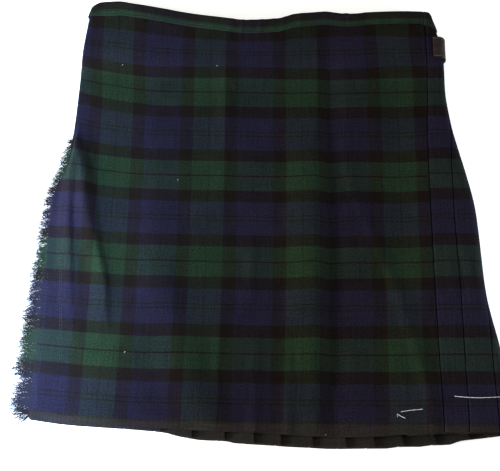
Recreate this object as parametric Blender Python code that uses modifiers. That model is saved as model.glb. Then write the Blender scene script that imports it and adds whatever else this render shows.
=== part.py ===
"""A tartan kilt laid flat on its back, front up, +Y towards the waist and the floor at z = 0.

The cloth is one long strip in the real garment: over-apron, pleats and under-apron, joined inside two
pleats. Each is a wall here, and every wall follows the same flattened tube, whose sections are the rows of
TUBE. A place on a section is given by s, the way along it from the over-apron's edge, and by h, how far
inside the tube's outer face it lies. Lengths are in millimetres, and MM turns them into Blender's metres.
"""

import math
from bisect import bisect_right
from collections import namedtuple

import bmesh
import bpy
from mathutils import Vector

MM = 0.001
CLOTH = 1.2  # wall of one layer
LAYER = 1.5  # from one layer's middle to the next, with 0.3 of air between
LEATHER = 2.0
HALF_LENGTH = 292.0  # from the middle to the nominal waist and hem
PLEATS = 16
PLEATS_END_X = -167.5  # the last pleat's knife edge, on the underside
EDGE_SHIFTS = (0, 2, -1.5, -3, 1, 3, 0.5, -2, 1.5, 3, -1, -2.5, 0.5, 0)  # unevenness of the pleats at the back
STEP_RUN = 4.0  # in which a face comes out from under its neighbour's edge
FOLD_RUN = 1.2  # from a fold's crest back to where its layers run straight
RISE_START_X = 60.0  # from here the front climbs to the round fold on the right
LEFT_LEVEL_X = -140.0  # from here to the left fold it comes down
HUG_START_X, HUG_END_X = -180.0, -210.0  # where the underside lifts over the tucked apron
UNDER_APRON_EDGE_X = 158.0
UNDER_FOLD_RADIUS = 1.5
WAISTBAND_HEIGHT = 20.0
BAND_OUT = 1.8  # from the pleats' faces to the waistband's middle
APRON_LIP, BACK_LIP = 1.9, 3.0  # how far each waistband's lip reaches over the cloth's top edge
EDGE_GAP = 0.9  # from the cloth's top edge to the lip's middle row

# Sections from hem to waist. left and right are the folds' outermost lines, low is the middle of the lowest
# cloth, radius is the right fold's, depth is that of a pleat's hidden part, first and second are the widths
# of the two pleats that show in front, front is the height of the over-apron's middle, hug is that of the
# under-apron's lower layer at the left fold, and band is the room taken by its waistband. turn is how far
# the over-apron bends over the left fold, in degrees, tuck is its straight length behind it, and set_back
# keeps the under-apron's fold inside, strand is the length of the fringe, and edge is where the over-apron
# folds under into the first pleat.
Section = namedtuple(
    "Section", "y left right low radius depth first second front hug band turn tuck set_back strand edge"
)
TUBE = (
    Section(-292, -284.5, 307, 0.8, 11.5, 44.5, 29.5, 36.0, 10.7, 0.8, 0.0, 8, 2, 1.5, 24, 214.9),
    Section(-187, -283.5, 289, 0.8, 11.5, 44.5, 31.0, 33.5, 11.1, 0.8, 0.0, 8, 2, 1.5, 23, 212.1),
    Section(-110, -282.5, 276, 0.8, 11.5, 44.5, 31.5, 34.0, 11.2, 0.8, 0.0, 10, 2, 1.5, 18, 210.7),
    Section(-4, -280.5, 270, 0.8, 11.3, 44.5, 29.5, 35.0, 11.4, 0.8, 0.0, 12, 2, 1.5, 14, 209.9),
    Section(63, -263.0, 257.6, 0.8, 10.8, 44.5, 30.0, 35.0, 11.7, 2.3, 0.0, 14, 2, 6.0, 13, 209.7),
    Section(93, -260.0, 251, 0.8, 10.4, 44.5, 30.5, 34.0, 11.8, 2.3, 0.0, 16, 2, 6.0, 11, 210.0),
    Section(103, -259.4, 248.8, 0.8, 10.3, 44.5, 31.0, 33.5, 11.8, 2.3, 0.0, 90, 1, 6.5, 10, 210.1),
    Section(123, -258.4, 244.8, 0.8, 10.0, 44.5, 31.5, 32.5, 11.9, 2.3, 0.0, 180, 4, 6.5, 14, 210.8),
    Section(177, -256.6, 239, 0.8, 9.0, 36.0, 29.0, 31.0, 11.9, 2.3, 0.0, 180, 19, 1.6, 14, 213.0),
    Section(222, -255.6, 238, 6.8, 7.5, 20.0, 28.0, 28.0, 15.6, 6.8, 0.0, 180, 27, 1.6, 14, 213.8),
    Section(262, -253.0, 232, 7.9, 6.4, 16.0, 26.5, 26.5, 17.3, 7.9, 1.2, 180, 31, 1.6, 14, 213.0),
    Section(276, -252.0, 228.4, 8.2, 6.1, 15.0, 26.5, 26.5, 17.7, 8.2, 1.6, 180, 32, 1.6, 14, 212.6),
    Section(291, -249.5, 223.5, 8.2, 6.1, 15.0, 26.5, 26.5, 17.7, 8.2, 1.6, 180, 32, 1.6, 14, 212.2),
)
CLOTH_ROWS = tuple(section.y for section in TUBE)
PLEAT_ROWS = tuple(y for y in CLOTH_ROWS if y not in (93, 103, 262))
APRON_ROWS = tuple(sorted(CLOTH_ROWS + (-240, -150, -85, -50, 30)))

# The edges of the cloth, from left to right.
EdgePoint = namedtuple("EdgePoint", "x y")
FRONT_TOP = tuple(
    EdgePoint(*point)
    for point in (
        (-250, 306), (-244, 308.2), (-236, 312.5), (-211, 314.8), (-189, 311.5), (-166, 307.8), (-144, 303.5),
        (-122, 299), (-99, 295.2), (-66, 291.4), (-33, 287.6), (-11, 288.8), (12, 291.1), (23, 294.6),
        (34, 298.8), (56, 301.6), (78, 303.6), (89, 302.2), (106, 300.1), (122, 300.9), (134, 302.8),
        (189, 305), (200, 304.6), (211, 304.2), (220, 301.5), (226, 297),
    )
)
BACK_TOP = tuple(
    EdgePoint(*point)
    for point in (
        (-250, 306), (-244, 305), (-200, 300), (-100, 291), (-60, 286.5), (-15, 285.5), (10, 288.5),
        (45, 292), (190, 297.5), (216, 298), (226, 297),
    )
)
FRONT_HEM = tuple(
    EdgePoint(*point)
    for point in (
        (-284, -284), (-246, -289), (-221, -291.5), (-163, -293), (-17, -297), (90, -300.5), (130, -300),
        (162, -298), (198, -297), (214, -295), (243, -295), (270, -294.5), (307, -290),
    )
)
BACK_HEM = tuple(
    EdgePoint(*point)
    for point in (
        (-284, -284), (-246, -289), (-119, -297), (-105, -300.8), (-73, -305.5), (-39, -307.3),
        (20, -311.5), (79, -313.5), (118, -311.5), (194, -308), (225, -305.5), (240, -300), (270, -296),
        (307, -290),
    )
)

# The apron's largest folds. Each runs along its points from hem to waist, and falls away to nothing in
# left_run on its left and in right_run on its right.
Ridge = namedtuple("Ridge", "y x height left_run right_run")
RIDGES = (
    (
        Ridge(-200, -238, 0.0, 22, 20), Ridge(-134, -241, 2.0, 24, 24), Ridge(-65, -247, 4.2, 24, 30),
        Ridge(0, -252, 5.2, 22, 34), Ridge(40, -254, 5.2, 16, 32), Ridge(64, -254, 4.6, 9, 28),
        Ridge(95, -252, 3.0, 8, 22), Ridge(135, -250, 0.0, 8, 16),
    ),
    (
        Ridge(-165, -199, 0.0, 18, 12), Ridge(-135, -203, 3.0, 20, 12), Ridge(-100, -210, 4.2, 20, 12),
        Ridge(-65, -218, 4.2, 18, 12), Ridge(-20, -222, 4.0, 16, 12), Ridge(30, -228, 3.2, 14, 12),
        Ridge(60, -235, 2.0, 12, 12), Ridge(90, -242, 0.0, 10, 12),
    ),
    (
        Ridge(-290, 64, 1.2, 30, 18), Ridge(-60, 66, 2.4, 36, 17), Ridge(120, 66, 2.2, 36, 17),
        Ridge(230, 68, 1.5, 30, 17), Ridge(285, 68, 0.0, 30, 17),
    ),
    (
        Ridge(-290, 112, 1.5, 26, 36), Ridge(-60, 114, 2.2, 28, 40), Ridge(120, 114, 2.0, 28, 40),
        Ridge(285, 112, 0.0, 24, 36),
    ),
    (
        Ridge(-292, 192, 3.5, 34, 15), Ridge(-235, 183, 3.5, 32, 14), Ridge(-170, 168, 2.5, 30, 14),
        Ridge(-80, 148, 0.0, 26, 14),
    ),
)
LEFT_FOLDS_X = -178.0  # left of here the apron's columns are close together, for the folds there
LEFT_COLUMNS, REST_COLUMNS = 13, 28

STRAND_PITCH = 5.0
STRAND_SIDE = 0.8
FRINGE_STRIP = 3.0
FRINGE_GAP = 0.3
STRAP_WIDTH = 32.0
STRAP_MIDDLE_Y = 241.0  # nominal row of the straps
STRAP_X = 214.0  # the outline that the straps follow is read here
TAB_START_S = 11.3
TAB_END_X = 196.0
TAB_GAP = 0.6
APRON_STRAP_X = (-212.0, -128.0)
BUCKLE_SIZE = (26.0, 42.0, 1.8)
BUCKLE_BAR = 4.0
BUCKLE_RIM = 3.5
HIP_BUCKLE_X, HIP_BUCKLE_Z = 205.0, 2.5
APRON_BUCKLE_X, APRON_BUCKLE_Z = -140.0, 1.2
TARTAN_GREEN = (0.020, 0.042, 0.034)
TARTAN_NAVY = (0.014, 0.020, 0.045)
TARTAN_DARK = (0.012, 0.016, 0.022)
LEATHER_BROWN = (0.085, 0.055, 0.045)
STEEL = (0.55, 0.55, 0.56)


def mix(a, b, share):
    return a + (b - a) * share


def smooth(share):
    """Goes from 0 to 1 with level ends."""
    share = min(max(share, 0.0), 1.0)
    return share * share * (3 - 2 * share)


def read_rows(rows, key, at):
    """The row of a table at a place between two of its rows."""
    keys = [getattr(row, key) for row in rows]
    upper = min(max(bisect_right(keys, at), 1), len(rows) - 1)
    share = (at - keys[upper - 1]) / (keys[upper] - keys[upper - 1])
    share = min(max(share, 0.0), 1.0)
    return type(rows[0])(*(mix(a, b, share) for a, b in zip(rows[upper - 1], rows[upper])))


def section_at(y):
    return read_rows(TUBE, "y", y)


def edge_y(points, x):
    return read_rows(points, "x", x).y


def real_y(y, x, back):
    """The nominal row bent to the hem's and the waist's own outlines."""
    hem = edge_y(BACK_HEM if back else FRONT_HEM, x) + HALF_LENGTH
    top = edge_y(BACK_TOP if back else FRONT_TOP, x) - HALF_LENGTH
    return y + mix(hem, top, (y + HALF_LENGTH) / (2 * HALF_LENGTH))


def ridge_height(x, y):
    total = 0.0
    for ridge in RIDGES:
        if ridge[0].y <= y <= ridge[-1].y:
            crest = read_rows(ridge, "y", y)
            run = crest.left_run if x < crest.x else crest.right_run
            total += crest.height * smooth(1 - abs(x - crest.x) / run)
    return total


def left_height(section):
    return section.hug + 2 * UNDER_FOLD_RADIUS + LAYER + section.band


def front_height(x, section):
    """The height of the over-apron's middle, without its ridges."""
    if x < LEFT_LEVEL_X:
        share = (x - section.left) / (LEFT_LEVEL_X - section.left)
        return mix(left_height(section), section.front, smooth(share))
    fold_x = section.right - section.radius
    crown = section.low + 2 * section.radius
    return mix(section.front, crown, smooth((x - RISE_START_X) / (fold_x - RISE_START_X)))


def tube_lengths(section):
    """Where the right fold starts and ends, and where the pleats end, along s."""
    start = section.right - section.radius - section.edge
    end = start + math.pi * section.radius
    return start, end, end + section.right - section.radius - PLEATS_END_X


def tube_point(section, s, h):
    """A place on the tube as x, z and whether it's on the back."""
    start, end, _ = tube_lengths(section)
    centre_x = section.right - section.radius
    if s <= start:
        x = section.edge + s
        slope = front_height(x + 0.5, section) - front_height(x - 0.5, section)
        size = math.hypot(slope, 1)
        return x + h * slope / size, front_height(x, section) - h / size, False
    if s < end:
        angle = (s - start) / section.radius
        reach = section.radius - h
        z = section.low + section.radius + reach * math.cos(angle)
        return centre_x + reach * math.sin(angle), z, angle > math.pi / 2
    x = centre_x - (s - end)
    share = (HUG_START_X - x) / (HUG_START_X - HUG_END_X)
    return x, mix(section.low, section.hug, smooth(share)) + h, True


def pleat_edges(section):
    """The knife edges along s, from the over-apron's own."""
    edges = [0.0, section.first, section.first + section.second]
    rest = (tube_lengths(section)[2] - edges[-1]) / (PLEATS - 2)
    size = rest / 37
    return edges + [edges[2] + rest * i + EDGE_SHIFTS[i - 1] * size for i in range(1, PLEATS - 1)]


def fold_points(edge, depth, slope):
    """A pleat's hidden part, from its knife edge to its inner fold and back, as s and h."""
    run = FOLD_RUN
    return_layer = [
        (edge - run, 0.0),
        (edge, LAYER / 2),
        (edge - run, LAYER + slope * run),
        (edge - depth + run, LAYER + slope * (depth - run)),
    ]
    forward_layer = [
        (edge - depth, 1.5 * LAYER + slope * depth),
        (edge - depth + run, 2 * LAYER + slope * (depth - run)),
        (edge, 2 * LAYER),
    ]
    return return_layer, forward_layer


def spread(points, pieces):
    """The same path with each run of it cut into pieces."""
    path = []
    for a, b in zip(points, points[1:]):
        count = pieces if abs(b[0] - a[0]) > 3 * STEP_RUN / 2 else 1
        path += [(mix(a[0], b[0], i / count), mix(a[1], b[1], i / count)) for i in range(count)]
    return path + [points[-1]]


def pleat_slopes(edges):
    """How steeply each pleat's layers lean so that its neighbour's fit under them."""
    widths = [b - a for a, b in zip(edges, edges[1:])]
    return [2 * LAYER / width for width in widths[:1] + widths]


def pleated_path(section):
    edges = pleat_edges(section)
    slopes = pleat_slopes(edges)
    path = fold_points(edges[0], section.depth, slopes[0])[1][1:]
    pieces = 3
    for number, edge in enumerate(edges[1:], start=1):
        path = spread(path, pieces) if number == 1 else path
        there, back = fold_points(edge, section.depth, slopes[number])
        face = [(edges[number - 1] + STEP_RUN, 0.0)]
        part = [path[-1]] + face + there + (back if number < PLEATS else [])
        pieces = 3 if number < 5 else 1
        path = path[:-1] + spread(part, pieces)
    return [tube_point(section, s, h) for s, h in path]


def left_arc(section, centre_x, centre_z, radius, turn, steps):
    """Over the left fold, from its top towards the underside."""
    angles = [math.radians(turn) * i / steps for i in range(steps + 1)]
    half_turn = math.pi / 2
    return [(centre_x - radius * math.sin(a), centre_z + radius * math.cos(a), a > half_turn) for a in angles]


def apron_left_end(section, out=0.0):
    """The over-apron's end at the left fold, out from its middle, and the way that it points."""
    low = section.hug - LAYER - section.band - 0.1
    radius = (left_height(section) - low) / 2
    turn = section.turn
    angle = math.radians(turn)
    reach = radius if turn >= 90 else radius * math.sin(angle) - section.tuck * -math.cos(angle)
    arc = left_arc(section, section.left + reach, low + radius, radius + out, turn, 5)
    way = (-math.cos(angle), -math.sin(angle))
    x, z, back = arc[-1]
    return arc + [(x + way[0] * section.tuck, z + way[1] * section.tuck, back)], way


def apron_path(section, out=0.0):
    """The over-apron from its fold at the right to its end at the left."""
    end, _ = apron_left_end(section, out)
    start_x = section.edge - FOLD_RUN
    xs = [mix(start_x, LEFT_FOLDS_X, i / REST_COLUMNS) for i in range(REST_COLUMNS)]
    xs += [mix(LEFT_FOLDS_X, end[0][0], i / LEFT_COLUMNS) for i in range(LEFT_COLUMNS)]
    face = [(x, front_height(x, section) + ridge_height(x, section.y) + out, False) for x in xs]
    return face + end


def over_apron_path(section):
    hidden = fold_points(0.0, section.depth, pleat_slopes(pleat_edges(section))[0])[0]
    hidden = spread(hidden[1:], 3)[::-1]
    return [tube_point(section, s, h) for s, h in hidden] + apron_path(section)


def under_left_fold(section, out=0.0):
    radius = UNDER_FOLD_RADIUS + out
    middle = UNDER_FOLD_RADIUS + section.left + section.set_back + section.band
    arc = left_arc(section, middle, section.hug + UNDER_FOLD_RADIUS, radius, 180, 5)
    return arc[::-1]


def under_front(section, out=0.0, columns=20):
    """The under-apron's front, from the left fold to its free edge."""
    start_x = under_left_fold(section)[-1][0]
    xs = [mix(start_x, UNDER_APRON_EDGE_X, i / columns) for i in range(1, columns + 1)]
    down = LAYER + section.band
    return [(x, front_height(x, section) - down + out, False) for x in xs]


def under_apron_path(section):
    edges = pleat_edges(section)
    slope = pleat_slopes(edges)[-1]
    inside = fold_points(edges[-1], section.depth, slope)[1][1:]
    inside.append((edges[-1] + STEP_RUN, 0.0))
    path = [tube_point(section, s, h) for s, h in spread(inside, 2)]
    fold = under_left_fold(section)
    hug_middle = mix(HUG_START_X, HUG_END_X, 0.5)
    for x in (HUG_START_X, hug_middle, HUG_END_X, mix(HUG_END_X, fold[0][0], 0.6)):
        s = tube_lengths(section)[1] + section.right - section.radius - x
        path.append(tube_point(section, s, 0.0))
    return path + fold + under_front(section)


def back_band_path(section):
    """The waistband outside the pleats and the under-apron, from the right front to the free edge."""
    start, end, last = tube_lengths(section)
    stops = [STEP_RUN + 1.0] + [mix(start, end, i / 12) for i in range(13)]
    stops += [mix(end, last, i / 8) for i in range(1, 9)]
    path = [tube_point(section, s, -BAND_OUT) for s in stops]
    fold = under_left_fold(section, LAYER)
    return path + fold + under_front(section, LAYER)


def apron_band_path(section):
    return apron_path(section, LAYER)


def wall(name, rows, thickness, material):
    """A wall whose middle goes through rows of points, in millimetres."""
    across = len(rows[0])
    bm = bmesh.new()
    bmesh.ops.create_grid(bm, x_segments=across - 1, y_segments=len(rows) - 1, size=1.0)
    bm.verts.ensure_lookup_table()
    for place, vert in zip((point for row in rows for point in row), bm.verts):
        vert.co = Vector(place) * MM
    mesh = bpy.data.meshes.new(name)
    bm.to_mesh(mesh)
    bm.free()
    piece = add_object(name, mesh, material)
    solid = piece.modifiers.new("wall", "SOLIDIFY")
    solid.thickness = thickness * MM
    solid.offset = 0.0
    solid.use_even_offset = True
    return piece


def add_object(name, mesh, material):
    piece = bpy.data.objects.new(name, mesh)
    mesh.materials.append(material)
    KILT.objects.link(piece)
    return piece


def make_material(name, colour, roughness, metallic=0.0):
    material = bpy.data.materials.new(name)
    material.use_nodes = True
    shader = material.node_tree.nodes["Principled BSDF"]
    shader.inputs["Base Color"].default_value = (*colour, 1.0)
    shader.inputs["Roughness"].default_value = roughness
    shader.inputs["Metallic"].default_value = metallic
    return material


def cloth_wall(name, path_of, heights, material):
    """A wall through the sections at the given nominal heights."""
    rows = []
    for y in heights:
        path = path_of(section_at(y))
        drop = EDGE_GAP if y == heights[-1] else 0.0
        rows.append([(x, real_y(y, x, back) - drop, z) for x, z, back in path])
    return wall(name, rows, CLOTH, material)


def waistband(name, path_of, side, lip, material):
    """A folded strip: the leaf that shows, and the lip that closes over the cloth's top edge."""
    top = TUBE[-1].y
    rows = []
    for y, rise in ((top - WAISTBAND_HEIGHT, 0), (TUBE[-2].y, 0), (top, 0), (top, LAYER), (top, LAYER)):
        path = path_of(section_at(y))
        rows.append([(x, real_y(y, x, back) + rise, z) for x, z, back in path])
    rows[3] = moved_across(rows[3], side * LAYER / 2)
    rows[4] = moved_across(rows[4], side * lip)
    return wall(name, rows, CLOTH, material)


def moved_across(row, distance):
    """A row's points moved square to its own path, in the section's plane."""
    points = []
    for i, (x, y, z) in enumerate(row):
        before, after = row[max(i - 1, 0)], row[min(i + 1, len(row) - 1)]
        way = Vector((after[0] - before[0], after[2] - before[2])).normalized()
        points.append((x + way.y * distance, y, z - way.x * distance))
    return points


def fringe(name, lowest, highest, material):
    """A narrow strip off the cloth's edge, with a strand drawn from every other piece of its outer side."""
    count = int((highest - lowest) / STRAND_PITCH)
    stations = []
    for i in range(count):
        middle = lowest + (i + 0.5) * STRAND_PITCH
        stations += [middle - 0.25 * STRAND_PITCH, middle + 0.25 * STRAND_PITCH]
    near, far = FRINGE_GAP, FRINGE_GAP + FRINGE_STRIP
    bm = bmesh.new()
    rings = []
    for y in stations:
        section = section_at(y)
        end, way = apron_left_end(section)
        x, z, back = end[-1]
        normal = (-way[1], way[0])
        ring = []
        for out, side in ((near, 1), (far, 1), (far, -1), (near, -1)):
            rise = side * STRAND_SIDE / 2
            place_x = x + way[0] * out + normal[0] * rise
            place_z = z + way[1] * out + normal[1] * rise
            ring.append(bm.verts.new(Vector((place_x, real_y(y, x, back), place_z)) * MM))
        rings.append(ring)
    outer = []
    for i, (a, b) in enumerate(zip(rings, rings[1:])):
        for k in range(4):
            face = bm.faces.new((a[k], b[k], b[(k + 1) % 4], a[(k + 1) % 4]))
            if k == 1 and i % 2 == 0:
                outer.append(face)
    bm.faces.new(rings[0])
    bm.faces.new(rings[-1][::-1])
    bmesh.ops.recalc_face_normals(bm, faces=bm.faces)
    grown = bmesh.ops.extrude_discrete_faces(bm, faces=outer)["faces"]
    for i, face in enumerate(grown):
        middle = face.calc_center_median()
        section = section_at(lowest + (i + 0.5) * STRAND_PITCH)
        _, way = apron_left_end(section)
        reach = section.strand - far + 1.2 * math.sin(2.3 * i)
        move = Vector((way[0] * reach, 1.2 * math.sin(1.7 * i), way[1] * reach)) * MM
        for vert in face.verts:
            vert.co = middle + (vert.co - middle) * 0.45 + move
    mesh = bpy.data.meshes.new(name)
    bm.to_mesh(mesh)
    bm.free()
    return add_object(name, mesh, material)


def strap_wall(name, path_of, material):
    """A leather strip across the nominal rows about the straps' middle."""
    low, high = STRAP_MIDDLE_Y - STRAP_WIDTH / 2, STRAP_MIDDLE_Y + STRAP_WIDTH / 2
    rows = []
    for y in (low, STRAP_MIDDLE_Y, high):
        path = path_of(section_at(y))
        rows.append([(x, real_y(y, STRAP_X, True), z) for x, z, _ in path])
    return wall(name, rows, LEATHER, material)


def hip_tab_path(_):
    """The same for every row, so that the tab stands straight where the cloth behind it slants."""
    section = section_at(STRAP_MIDDLE_Y - STRAP_WIDTH / 2)
    start, end, _ = tube_lengths(section)
    out = -(CLOTH / 2 + TAB_GAP + LEATHER / 2)
    last = end + section.right - section.radius - TAB_END_X
    stops = [TAB_START_S] + [mix(start, end, i / 12) for i in range(1, 13)] + [mix(end, last, 0.5), last]
    return [tube_point(section, s, out) for s in stops]


def apron_strap_path(section):
    z = section.hug - LAYER - section.band - CLOTH / 2 - 0.3 - LEATHER / 2
    return [(mix(APRON_STRAP_X[0], APRON_STRAP_X[1], i / 4), z, True) for i in range(5)]


def buckle(name, x, z, material, cutters):
    """A flat frame with a bar across its middle."""
    length, width, height = (size * MM for size in BUCKLE_SIZE)
    y = real_y(STRAP_MIDDLE_Y, STRAP_X, True)
    frame = box(name, (x, y, z), BUCKLE_SIZE, KILT)
    frame.data.materials.append(material)
    hole = (length / MM - 2 * BUCKLE_RIM - BUCKLE_BAR) / 2
    for side in (-1, 1):
        middle = x + side * (BUCKLE_BAR + hole) / 2
        size = (hole, width / MM - 2 * BUCKLE_RIM, 3 * height / MM)
        cutter = box(f"{name}_hole_{side + 2}", (middle, y, z), size, cutters)
        cutter.hide_render = True
        cutter.display_type = "WIRE"
        cut = frame.modifiers.new("hole", "BOOLEAN")
        cut.object = cutter
        cut.operation = "DIFFERENCE"
    return frame


def box(name, middle, size, collection):
    bm = bmesh.new()
    bmesh.ops.create_cube(bm, size=1.0)
    for vert in bm.verts:
        vert.co = Vector([m + c * s for m, c, s in zip(middle, vert.co, size)]) * MM
    mesh = bpy.data.meshes.new(name)
    bm.to_mesh(mesh)
    bm.free()
    piece = bpy.data.objects.new(name, mesh)
    collection.objects.link(piece)
    return piece


for old in list(bpy.data.objects):
    bpy.data.objects.remove(old, do_unlink=True)
KILT = bpy.data.collections.new("kilt")
CUTTERS = bpy.data.collections.new("cutters")
for group in (KILT, CUTTERS):
    bpy.context.scene.collection.children.link(group)

cloth_wall("over_apron", over_apron_path, APRON_ROWS, make_material("apron_wool", TARTAN_GREEN, 0.9))
cloth_wall("under_apron", under_apron_path, CLOTH_ROWS, make_material("under_wool", TARTAN_DARK, 0.9))
cloth_wall("pleated_back", pleated_path, PLEAT_ROWS, make_material("pleat_wool", TARTAN_NAVY, 0.9))
waistband("waistband_apron", apron_band_path, -1, APRON_LIP, make_material("band_wool", TARTAN_GREEN, 0.9))
waistband("waistband_back", back_band_path, 1, BACK_LIP, make_material("back_band_wool", TARTAN_DARK, 0.9))
fringe("apron_fringe", -286.0, 90.0, make_material("fringe_yarn", TARTAN_NAVY, 0.95))
fringe("tucked_fringe", 130.0, 270.0, make_material("tucked_yarn", TARTAN_NAVY, 0.95))
strap_wall("hip_tab", hip_tab_path, make_material("tab_leather", LEATHER_BROWN, 0.6))
strap_wall("apron_strap", apron_strap_path, make_material("strap_leather", LEATHER_BROWN, 0.6))
buckle("hip_buckle", HIP_BUCKLE_X, HIP_BUCKLE_Z, make_material("hip_steel", STEEL, 0.3, 1.0), CUTTERS)
buckle("apron_buckle", APRON_BUCKLE_X, APRON_BUCKLE_Z, make_material("apron_steel", STEEL, 0.3, 1.0), CUTTERS)
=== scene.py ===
"""Looks of a laid tartan kilt: wool cloth, fringe, sewing, leather straps and steel buckles.

Every cloth is a thin shell on the same flattened tube as its solid. Lengths are in millimetres up to the
moment when a mesh is made, and MM turns them into Blender's metres. +X goes to the pleats that show beside
the over-apron, +Y to the waist, and the garment lies on z = 0.
"""

from __future__ import annotations

import logging
import math
import random
from dataclasses import dataclass, field
from enum import Enum
from typing import Callable, NamedTuple, Sequence

import bpy
import numpy as np
from mathutils import Matrix, Vector, kdtree, noise

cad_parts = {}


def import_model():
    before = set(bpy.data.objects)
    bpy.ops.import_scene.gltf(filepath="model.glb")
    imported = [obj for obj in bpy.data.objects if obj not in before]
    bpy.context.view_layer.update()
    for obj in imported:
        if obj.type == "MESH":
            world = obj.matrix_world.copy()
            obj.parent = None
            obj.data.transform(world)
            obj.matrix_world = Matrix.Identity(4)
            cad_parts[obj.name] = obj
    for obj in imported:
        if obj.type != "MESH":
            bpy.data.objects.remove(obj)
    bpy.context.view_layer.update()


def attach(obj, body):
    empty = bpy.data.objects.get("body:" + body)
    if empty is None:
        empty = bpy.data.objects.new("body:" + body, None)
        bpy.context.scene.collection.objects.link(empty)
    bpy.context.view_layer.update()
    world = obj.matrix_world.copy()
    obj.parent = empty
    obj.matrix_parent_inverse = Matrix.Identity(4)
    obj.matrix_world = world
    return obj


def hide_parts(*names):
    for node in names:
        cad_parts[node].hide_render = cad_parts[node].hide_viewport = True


LOG = logging.getLogger("kilt")
MM = 0.001
CLOTH_UV = "cloth"
# How near a yarn's end cap lies to its last ring, in metres.
CAP_WELD = 1e-7
# The lowest that a cloth's shell goes, above the floor.
LOWEST = 0.1
Colour = tuple[float, float, float]
Place = tuple[float, float, float]
Array = np.ndarray
# A point round a fold: x, z and whether it lies on the back.
FoldPoint = tuple[float, float, bool]
Run = tuple[Array, ...]


class Slot(Enum):
    """The record's material slots."""

    TARTAN = "tartan_wool"
    YARN = "fringe_yarn"
    LEATHER = "strap_leather"
    STEEL = "buckle_steel"


class Held(Enum):
    """How a sheet lies."""

    LAID = "laid"
    FOLDED = "folded"


# ---------------------------------------------------------------- numbers


def mix(a: float | Array, b: float | Array, share: float | Array) -> float | Array:
    """Return the value a share of the way from a to b."""
    return a + (b - a) * share


def smooth(share: float | Array) -> Array:
    """Return 0 to 1 with level ends."""
    share = np.clip(share, 0.0, 1.0)
    return share * share * (3 - 2 * share)


def bulge_at(x: float | Array, crest: float | Array, run: float | Array) -> Array:
    """Return 1 on a crest, falling to 0 over a run on both its sides."""
    return smooth(1 - np.abs(x - crest) / run)


def between(a: Sequence[float], b: Sequence[float], count: int) -> list[tuple[float, float]]:
    """Return points from after a as far as b, in equal steps."""
    return [(mix(a[0], b[0], i / count), mix(a[1], b[1], i / count)) for i in range(1, count + 1)]


def run_of(points: Sequence[FoldPoint]) -> Run:
    """Return the points round a fold as arrays of x, z and back."""
    x, z, back = zip(*points)
    return np.array(x), np.array(z), np.array(back, bool)


def joined(*runs: Run) -> Run:
    """Return runs of x, z, back and what else they hold, end to end."""
    return tuple(np.concatenate(part) for part in zip(*runs))


def run_lengths(*places: Array) -> Array:
    """Return the way along a path from its first point, from its places on each axis."""
    steps = np.sqrt(sum(np.diff(place) ** 2 for place in places))
    return np.concatenate([[0.0], np.cumsum(steps)])


def moved_across(x: Array, z: Array, distance: float) -> tuple[Array, Array]:
    """Move a path's points square to it, in the section's plane.

    Args:
        x: the points' places across.
        z: their heights.
        distance: how far they go.

    Returns:
        The new x and z.
    """
    way_x, way_z = np.gradient(x), np.gradient(z)
    size = np.hypot(way_x, way_z)
    return x + way_z / size * distance, z - way_x / size * distance


class SmoothTable:
    """Rows of numbers, sorted by their first column, joined by curves that don't overshoot."""

    def __init__(self, rows: Sequence[Sequence[float]]) -> None:
        """Work out each row's slopes.

        Args:
            rows: the key and then the values of each row.
        """
        table = np.array(rows, float)
        self.keys, self.values = table[:, 0], table[:, 1:]
        grades = np.diff(self.values, axis=0) / np.diff(self.keys)[:, None]
        padded = np.pad(grades, ((1, 1), (0, 0)), "edge")
        before, after = padded[:-1], padded[1:]
        agree = before * after > 0
        self.slopes = np.where(agree, 2 * before * after / np.where(agree, before + after, 1.0), 0.0)

    def at(self, key: float | Array) -> Array:
        """Read the table.

        Args:
            key: one place or many.

        Returns:
            The values there, in the last axis.
        """
        key = np.clip(np.asarray(key, float), self.keys[0], self.keys[-1])
        upper = np.clip(np.searchsorted(self.keys, key), 1, len(self.keys) - 1)
        width = (self.keys[upper] - self.keys[upper - 1])[..., None]
        t = (key - self.keys[upper - 1])[..., None] / width
        low, high = self.values[upper - 1], self.values[upper]
        low_slope, high_slope = self.slopes[upper - 1] * width, self.slopes[upper] * width
        back = t * t * (3 - 2 * t)
        return (1 - back) * low + back * high + t * (1 - t) * ((1 - t) * low_slope - t * high_slope)

    def value(self, key: float | Array) -> Array:
        """Return the first value only."""
        return self.at(key)[..., 0]


# ---------------------------------------------------------------- the laid garment's form


class Section(NamedTuple):
    """One row of the flattened tube, named as in the part's source."""

    y: float
    left: float
    right: float
    low: float
    radius: float
    depth: float
    first: float
    second: float
    front: float
    hug: float
    band: float
    turn: float
    tuck: float
    set_back: float
    strand: float
    edge: float


class Path(NamedTuple):
    """Points along one row: x, z, whether each is on the back, and its place across the cloth."""

    x: Array
    z: Array
    back: Array
    across: Array


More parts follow.
